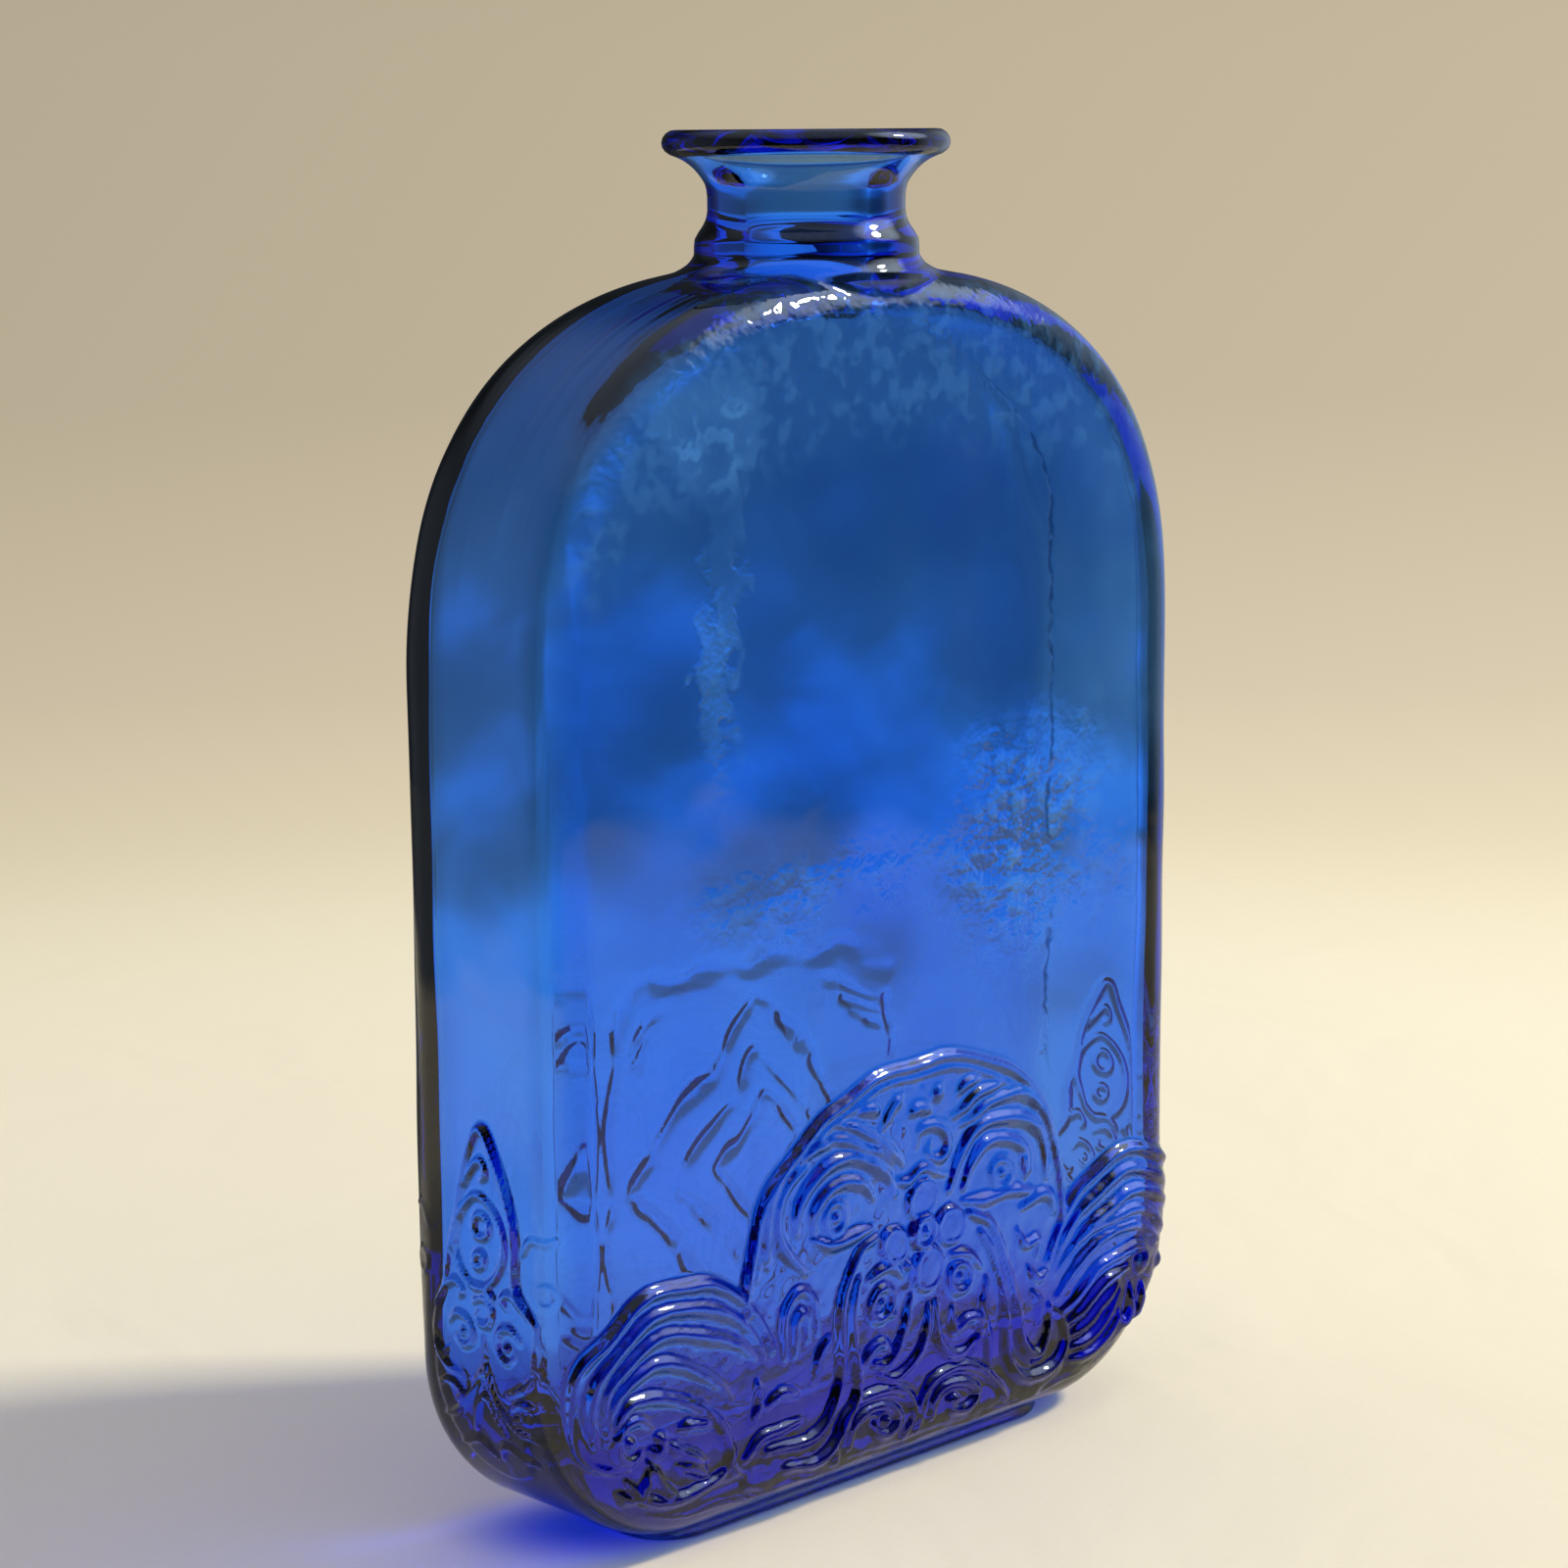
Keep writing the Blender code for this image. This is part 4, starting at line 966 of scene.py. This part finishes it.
def shoulder_lines(recipe, place, y, z):
    """Drawn lines that follow the shoulders."""
    ramp = recipe.ramp
    stretched = recipe.vector("MULTIPLY", {0: place, 1: (9.0, 210.0, 9.0)})
    drawn = recipe.noise(stretched, Scale=1.0, Detail=2.0)
    shoulder = ramp(z, *SHOULDER) * ramp(abs(y), 0.0115, 0.0085)
    return drawn * shoulder * ramp(z, *SHOULDER_END)


def cobalt_glass(look):
    material = bpy.data.materials.new("cobalt_glass")
    recipe = Recipe(material)
    ramp = recipe.ramp
    place, x, y, z = recipe.place("Object")
    front = ramp(y, *FRONT)
    fine = recipe.noise(place, Scale=310.0, Detail=2.0, Roughness=0.55) - 0.5
    slow = recipe.noise(place, Scale=62.0, Detail=1.0, Distortion=0.6)
    patch = recipe.noise(place, Scale=34.0, Detail=2.0)
    wander = patch - 0.5
    field = rippled_field(ramp, x, z, slow)
    streak = left_streak(ramp, x, z, fine, wander)
    fold = right_fold(ramp, x, z, fine, slow, wander)
    crest = ramp(z + x * x * 4.0, 0.148, 0.170) * ramp(z, *CREST_END) * 0.45
    wrinkled = ramp(patch, 0.34, 0.54) * (field + streak * 0.5 + crest)
    height = slow * (look.ripple * SLOW_DEPTH)
    height = height + fine * wrinkled * (look.ripple * RIPPLE_DEPTH) * front
    height = height + streak * (look.ripple * STREAK_DEPTH) * front
    height = height + shoulder_lines(recipe, place, y, z) * (look.ripple * LINE_DEPTH)
    height = height - fold * front * (look.ripple * FOLD_DEPTH)
    glass = recipe.node("ShaderNodeBsdfPrincipled", None, {
        "Base Color": (1, 1, 1, 1), "Roughness": 0.0, "IOR": look.ior,
        "Transmission Weight": 1.0, "Normal": recipe.bump(height, BUMP_UNIT),
    })["BSDF"]
    # A faint bloom on the streak, under the crest, in the rippled field and beyond the fold
    flecks = ramp(fine, -0.02, 0.12)
    under = ramp(z + x * x * 6.0, 0.149, 0.160) * ramp(z, *CREST_END)
    beyond = ramp(x, 0.031, 0.044) * ramp(abs(z - BEYOND_Z), 0.040, 0.018)
    bloom = (streak * (flecks * 0.20 + 0.15) + under * (flecks * 0.10 + 0.06)
             + field * flecks * 0.16 + beyond * 0.12) * ramp(patch, 0.26, 0.58) * front
    glass = recipe.mix(bloom, glass, recipe.diffuse(BLOOM_COLOUR))
    # Painted shade: a near-black diffuse sheet along the fold darkens the glass there
    painted_fold_shade = fold * front * ramp(fine, -0.12, 0.04) * 0.6
    glass = recipe.mix(painted_fold_shade, glass, recipe.diffuse(FOLD_PAINTED_SHADE))
    shadow = recipe.node("ShaderNodeLightPath")["Is Shadow Ray"]
    surface = recipe.mix(shadow, glass, recipe.clear(look.shadow_tint))
    body = recipe.node("ShaderNodeVolumeAbsorption", None,
                       {"Color": (*look.tint, 1), "Density": look.density})["Volume"]
    recipe.node("ShaderNodeOutputMaterial", None, {"Surface": surface, "Volume": body})
    return material


def blue_spot(ramp, x, y):
    """The slanting oval spot of blue light beside the foot."""
    along = (x - SPOT_X) * 0.7 + (y - SPOT_Y) * 0.7
    over = (y - SPOT_Y) * 0.7 - (x - SPOT_X) * 0.7
    return ramp((along * along * SPOT_LONGER + over * over) ** 0.5, SPOT_REACH, 0.002)


def faint_table(ramp, x, y, away, radius):
    """How much of the table is left out of reflections, by side and by distance."""
    left = ramp(y - x, -0.1, 0.1)
    on_right = ramp(away, radius * 0.7, radius * 0.95) * 0.55
    on_right = on_right + ramp(away, radius * 0.1, radius * 0.6) * 0.5
    on_left = ramp(away, radius * 0.62, radius * 0.76) * 0.95
    behind = ramp(y - x, -0.02, 0.03) * ramp(y - x, 0.42, 0.3) * ramp(x + y, 0.05, 0.2)
    return (left * on_left + (1.0 - left) * on_right).at_least(behind * 0.9)


def floor_finish(stage):
    material = bpy.data.materials.new("pale_table")
    recipe = Recipe(material)
    ramp = recipe.ramp
    place, x, y, _ = recipe.place("Object")
    path = recipe.node("ShaderNodeLightPath")
    through = path["Is Transmission Ray"]
    spot = blue_spot(ramp, x, y)
    speckle = ramp(recipe.noise(place, Scale=900.0), 0.3, 0.7)
    darker = tuple(0.985 * value for value in stage.floor)
    colour = recipe.blend(speckle, (*stage.floor, 1), (*darker, 1))
    colour = recipe.blend(spot, colour, SPOT_COLOUR)
    glow = recipe.blend(through, (0, 0, 0, 1), THROUGH_GLOW)
    glow = recipe.blend(spot, glow, SPOT_GLOW)
    crumple = recipe.noise(place, Scale=16.0, Detail=3.0, Distortion=0.8)
    pale = recipe.node("ShaderNodeBsdfPrincipled", None, {
        "Base Color": colour, "Roughness": 0.85, "Specular IOR Level": 0.1,
        "Normal": recipe.bump(crumple, TABLE_UNEVEN),
        "Emission Color": glow, "Emission Strength": stage.glow,
    })["BSDF"]
    # The table fades into the background at its edge
    away = (x * x + y * y) ** 0.5
    seen = path["Is Camera Ray"].at_least(through)
    open_edge = ramp(away, stage.radius * 0.4, stage.radius * 0.9) * seen
    faint = faint_table(ramp, x, y, away, stage.radius)
    open_edge = open_edge + faint * path["Is Glossy Ray"]
    surface = recipe.mix(open_edge, pale, recipe.clear())
    recipe.node("ShaderNodeOutputMaterial", None, {"Surface": surface})
    return material


def wall_colour(recipe, stage, x, y, z):
    """The wall by height, a little lighter towards the lamp."""
    share = recipe.node("ShaderNodeMapRange", None, {
        "Value": z, "From Min": WALL_HEIGHTS[0], "From Max": WALL_HEIGHTS[1]})["Result"]
    wall = recipe.node("ShaderNodeValToRGB", {"stops": [
        (0.0, stage.low), (0.05, stage.low), (0.155, stage.lower_wall), (0.305, stage.middle),
        (0.46, stage.high), (0.64, tuple(value * 0.97 for value in stage.high)),
        (1.0, tuple(value * 0.8 for value in stage.high)),
    ]}, {"Fac": share})["Color"]
    return recipe.vector("SCALE", {0: wall, "Scale": (x - y) * 0.32 + 1.0})


def seen_through(recipe, wall, x, y, z):
    """The room through the glass: bluer low down, dark behind the camera and past the right."""
    ramp = recipe.ramp
    dark = ramp(x, 0.80, 0.97) + ramp(x * -0.6 + y * -0.8, 0.5, 0.9)
    tint = recipe.blend(ramp(z, -0.215, -0.125), LOW_TINT, HIGH_TINT)
    lit = recipe.vector("MULTIPLY", {0: wall, 1: tint})
    return recipe.blend(dark.at_most(1.0) * 0.7, lit, DARK_SIDE)


def reflected_room(recipe, stage, x, y, z):
    """The room in reflections, with a bright window that only slopes of the relief turn to."""
    ramp = recipe.ramp
    back = ramp(y * 0.7 - x * 0.7, 0.55, 0.98) * stage.reflected * 6.0 + stage.reflected
    back = back + ramp(z, 0.45, 0.9) * stage.overhead
    back = back + ramp(x, 0.72, 0.95) * stage.overhead
    window = x * WINDOW_AIM[0] + y * WINDOW_AIM[1] + z * WINDOW_AIM[2]
    back = back + ramp(window, 0.89, 0.985) * stage.window
    parts = {name: back * tint for name, tint in zip(("Red", "Green", "Blue"), REFLECTED_TINT)}
    return recipe.node("ShaderNodeCombineColor", None, parts)["Color"]


def room_light(stage):
    world = bpy.data.worlds.new("soft_room")
    bpy.context.scene.world = world
    recipe = Recipe(world)
    _, x, y, z = recipe.place("Generated")
    path = recipe.node("ShaderNodeLightPath")
    wall = wall_colour(recipe, stage, x, y, z)
    ambient = (stage.ambient,) * 3 + (1,)
    colour = recipe.blend(path["Is Glossy Ray"], ambient, reflected_room(recipe, stage, x, y, z))
    colour = recipe.blend(path["Is Transmission Ray"], colour,
                          seen_through(recipe, wall, x, y, z))
    colour = recipe.blend(path["Is Camera Ray"], colour, wall)
    light = recipe.node("ShaderNodeBackground", None, {"Color": colour, "Strength": 1.0})
    recipe.node("ShaderNodeOutputWorld", None, {"Surface": light["Background"]})


# Scene pieces

def add_object(name, data):
    made = bpy.data.objects.new(name, data)
    bpy.context.scene.collection.objects.link(made)
    return made


def add_key_lamp(power):
    lamp = bpy.data.lights.new("key_lamp", "AREA")
    lamp.shape = "RECTANGLE"
    lamp.size = lamp.size_y = LAMP_SIZE
    lamp.energy = power
    lamp.color = LAMP_COLOUR
    made = add_object("key_lamp", lamp)
    made.location = LAMP_PLACE
    made.rotation_mode = "QUATERNION"
    aim = Vector(LAMP_AIM) - Vector(LAMP_PLACE)
    made.rotation_quaternion = aim.to_track_quat("-Z", "Y")


def add_table(stage):
    turns = np.linspace(0, 2 * math.pi, TABLE_SIDES + 1)[:-1]
    rim = np.stack([np.cos(turns), np.sin(turns), np.zeros(TABLE_SIDES)], axis=-1) * stage.radius
    mesh = bpy.data.meshes.new("table")
    mesh.from_pydata([(0, 0, 0)] + rim.tolist(), [],
                     [(0, 1 + i, 1 + (i + 1) % TABLE_SIDES) for i in range(TABLE_SIDES)])
    mesh.materials.append(floor_finish(stage))
    table = add_object("table", mesh)
    table.location.z = -TABLE_DROP


def add_camera():
    camera = bpy.data.cameras.new("camera")
    camera.lens = CAMERA_LENS
    camera.sensor_width = SENSOR_WIDTH
    camera.clip_start, camera.clip_end = CAMERA_REACH
    eye = add_object("camera", camera)
    turn, dip, roll = (math.radians(value) for value in CAMERA_ANGLES)
    ahead = Vector((-math.sin(turn) * math.cos(dip), math.cos(turn) * math.cos(dip),
                    -math.sin(dip)))
    level = ahead.cross(Vector((0, 0, 1))).normalized()
    upright = level.cross(ahead)
    right = level * math.cos(roll) + upright * math.sin(roll)
    upright = upright * math.cos(roll) - level * math.sin(roll)
    eye.matrix_world = Matrix.Translation(CAMERA_PLACE) @ Matrix(
        (right, upright, -ahead)).transposed().to_4x4()
    bpy.context.scene.camera = eye


def length_setting(name, description, default):
    return FloatProperty(name=name, description=description, default=default,
                         unit="LENGTH", subtype="DISTANCE", precision=5)


def colour_setting(name, description, default):
    return FloatVectorProperty(name=name, description=description, default=default,
                               min=0, max=1, subtype="COLOR")


class BottleShape(bpy.types.PropertyGroup):
    edge: length_setting("Edge radius", "Rounding between the faces and the narrow sides", 0.0068)
    lower_corner: length_setting(
        "Lower corner radius", "Rounding of the body's lower corners", 0.026)
    spring: length_setting("Shoulder height", "Where the arched shoulders begin", 0.1205)
    fullness: FloatProperty(
        name="Shoulder fullness", description="2 is an ellipse, more is squarer", default=2.5)
    face_wall: length_setting("Face wall", "Thickness of the glass at the broad faces", 0.0058)
    side_wall: length_setting("Side wall", "Thickness of the glass at the narrow sides", 0.0043)
    inner_edge: length_setting(
        "Inner edge radius", "Rounding of the hollow between its faces and sides", 0.0012)
    base: length_setting("Base", "Thickness of the glass over the foot", 0.0100)
    relief: FloatProperty(
        name="Relief", description="How far the raised work stands out, as a share", default=1.0)
    unevenness: length_setting("Unevenness", "Slow waves of the glass", 0.00024)
    mesh_step: length_setting("Mesh step", "Spacing of the points on the raised work", 0.00044)


class GlassLook(bpy.types.PropertyGroup):
    tint: colour_setting(
        "Tint", "Colour that the glass keeps of the light through it", (0.01, 0.505, 0.94))
    density: FloatProperty(
        name="Density", description="How strongly the glass takes up light, for each metre",
        default=305.0)
    ior: FloatProperty(name="IOR", description="Refraction of the glass", default=1.5)
    ripple: FloatProperty(name="Ripple", description="Strength of the fine ripples", default=1.0)
    shadow_tint: colour_setting(
        "Shadow tint", "Light that each surface lets into the shadow", (0.73, 0.70, 0.68))


class StageLook(bpy.types.PropertyGroup):
    floor: colour_setting("Floor", "Colour of the table", (0.93, 0.86, 0.68))
    radius: length_setting("Floor radius", "How far the table reaches", 0.62)
    low: colour_setting("Low background", "Background well below eye level", (0.97, 0.89, 0.625))
    lower_wall: colour_setting(
        "Lower wall", "Background where the table meets the wall", (0.888, 0.791, 0.552))
    middle: colour_setting(
        "Middle background", "Background just below the horizon", (0.658, 0.564, 0.407))
    high: colour_setting(
        "High background", "Background at the horizon and over it", (0.533, 0.455, 0.328))
    glow: FloatProperty(
        name="Glow", description="Strength of the blue light beside the foot", default=0.2)
    ambient: FloatProperty(
        name="Ambient", description="Light from all around on the table", default=0.46)
    reflected: FloatProperty(
        name="Room", description="Brightness of the room in reflections", default=0.035)
    overhead: FloatProperty(
        name="Overhead", description="Brightness of the ceiling in reflections", default=0.6)
    window: FloatProperty(
        name="Window", description="Brightness of the window in reflections", default=3.2)
    key: FloatProperty(
        name="Key lamp", description="Power of the lamp at the right", default=37.0, unit="POWER")


class BOTTLE_OT_glass(bpy.types.Operator):
    """Makes the bottle: body, shoulders, neck, lip, foot and raised work in one glass"""

    bl_idname = "bottle.glass"
    bl_label = "Glass"

    def execute(self, context):
        shape = context.scene.bottle_shape
        bottle = add_object("bottle_glass", Glass(shape).mesh("bottle_glass"))
        bottle.data.materials.append(cobalt_glass(context.scene.glass_look))
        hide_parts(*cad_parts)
        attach(bottle, "root")
        return {"FINISHED"}


class BOTTLE_OT_stage(bpy.types.Operator):
    """Makes the table, the background, the lamp and the camera"""

    bl_idname = "bottle.stage"
    bl_label = "Stage"

    def execute(self, context):
        stage = context.scene.stage_look
        add_table(stage)
        room_light(stage)
        add_key_lamp(stage.key)
        add_camera()
        context.scene.view_settings.view_transform = "Standard"
        return {"FINISHED"}


class BOTTLE_PT_panel(bpy.types.Panel):
    """Sizes, looks and steps of the bottle"""

    bl_label = "Embossed Glass Bottle"
    bl_idname = "BOTTLE_PT_panel"
    bl_space_type = "VIEW_3D"
    bl_region_type = "UI"
    bl_category = "Bottle"

    def draw(self, context):
        for group in GROUPS:
            settings = getattr(context.scene, group)
            box = self.layout.box()
            for name in settings.__annotations__:
                box.prop(settings, name)
        self.layout.operator("bottle.glass")
        self.layout.operator("bottle.stage")


GROUPS = {"bottle_shape": BottleShape, "glass_look": GlassLook, "stage_look": StageLook}
CLASSES = (*GROUPS.values(), BOTTLE_OT_glass, BOTTLE_OT_stage, BOTTLE_PT_panel)


def register():
    for part in CLASSES:
        bpy.utils.register_class(part)
    for name, group in GROUPS.items():
        setattr(bpy.types.Scene, name, PointerProperty(type=group))


def unregister():
    for name in GROUPS:
        delattr(bpy.types.Scene, name)
    for part in reversed(CLASSES):
        bpy.utils.unregister_class(part)


def main():
    register()
    bpy.ops.bottle.glass()
    bpy.ops.bottle.stage()


if __name__ == "__main__":
    main()
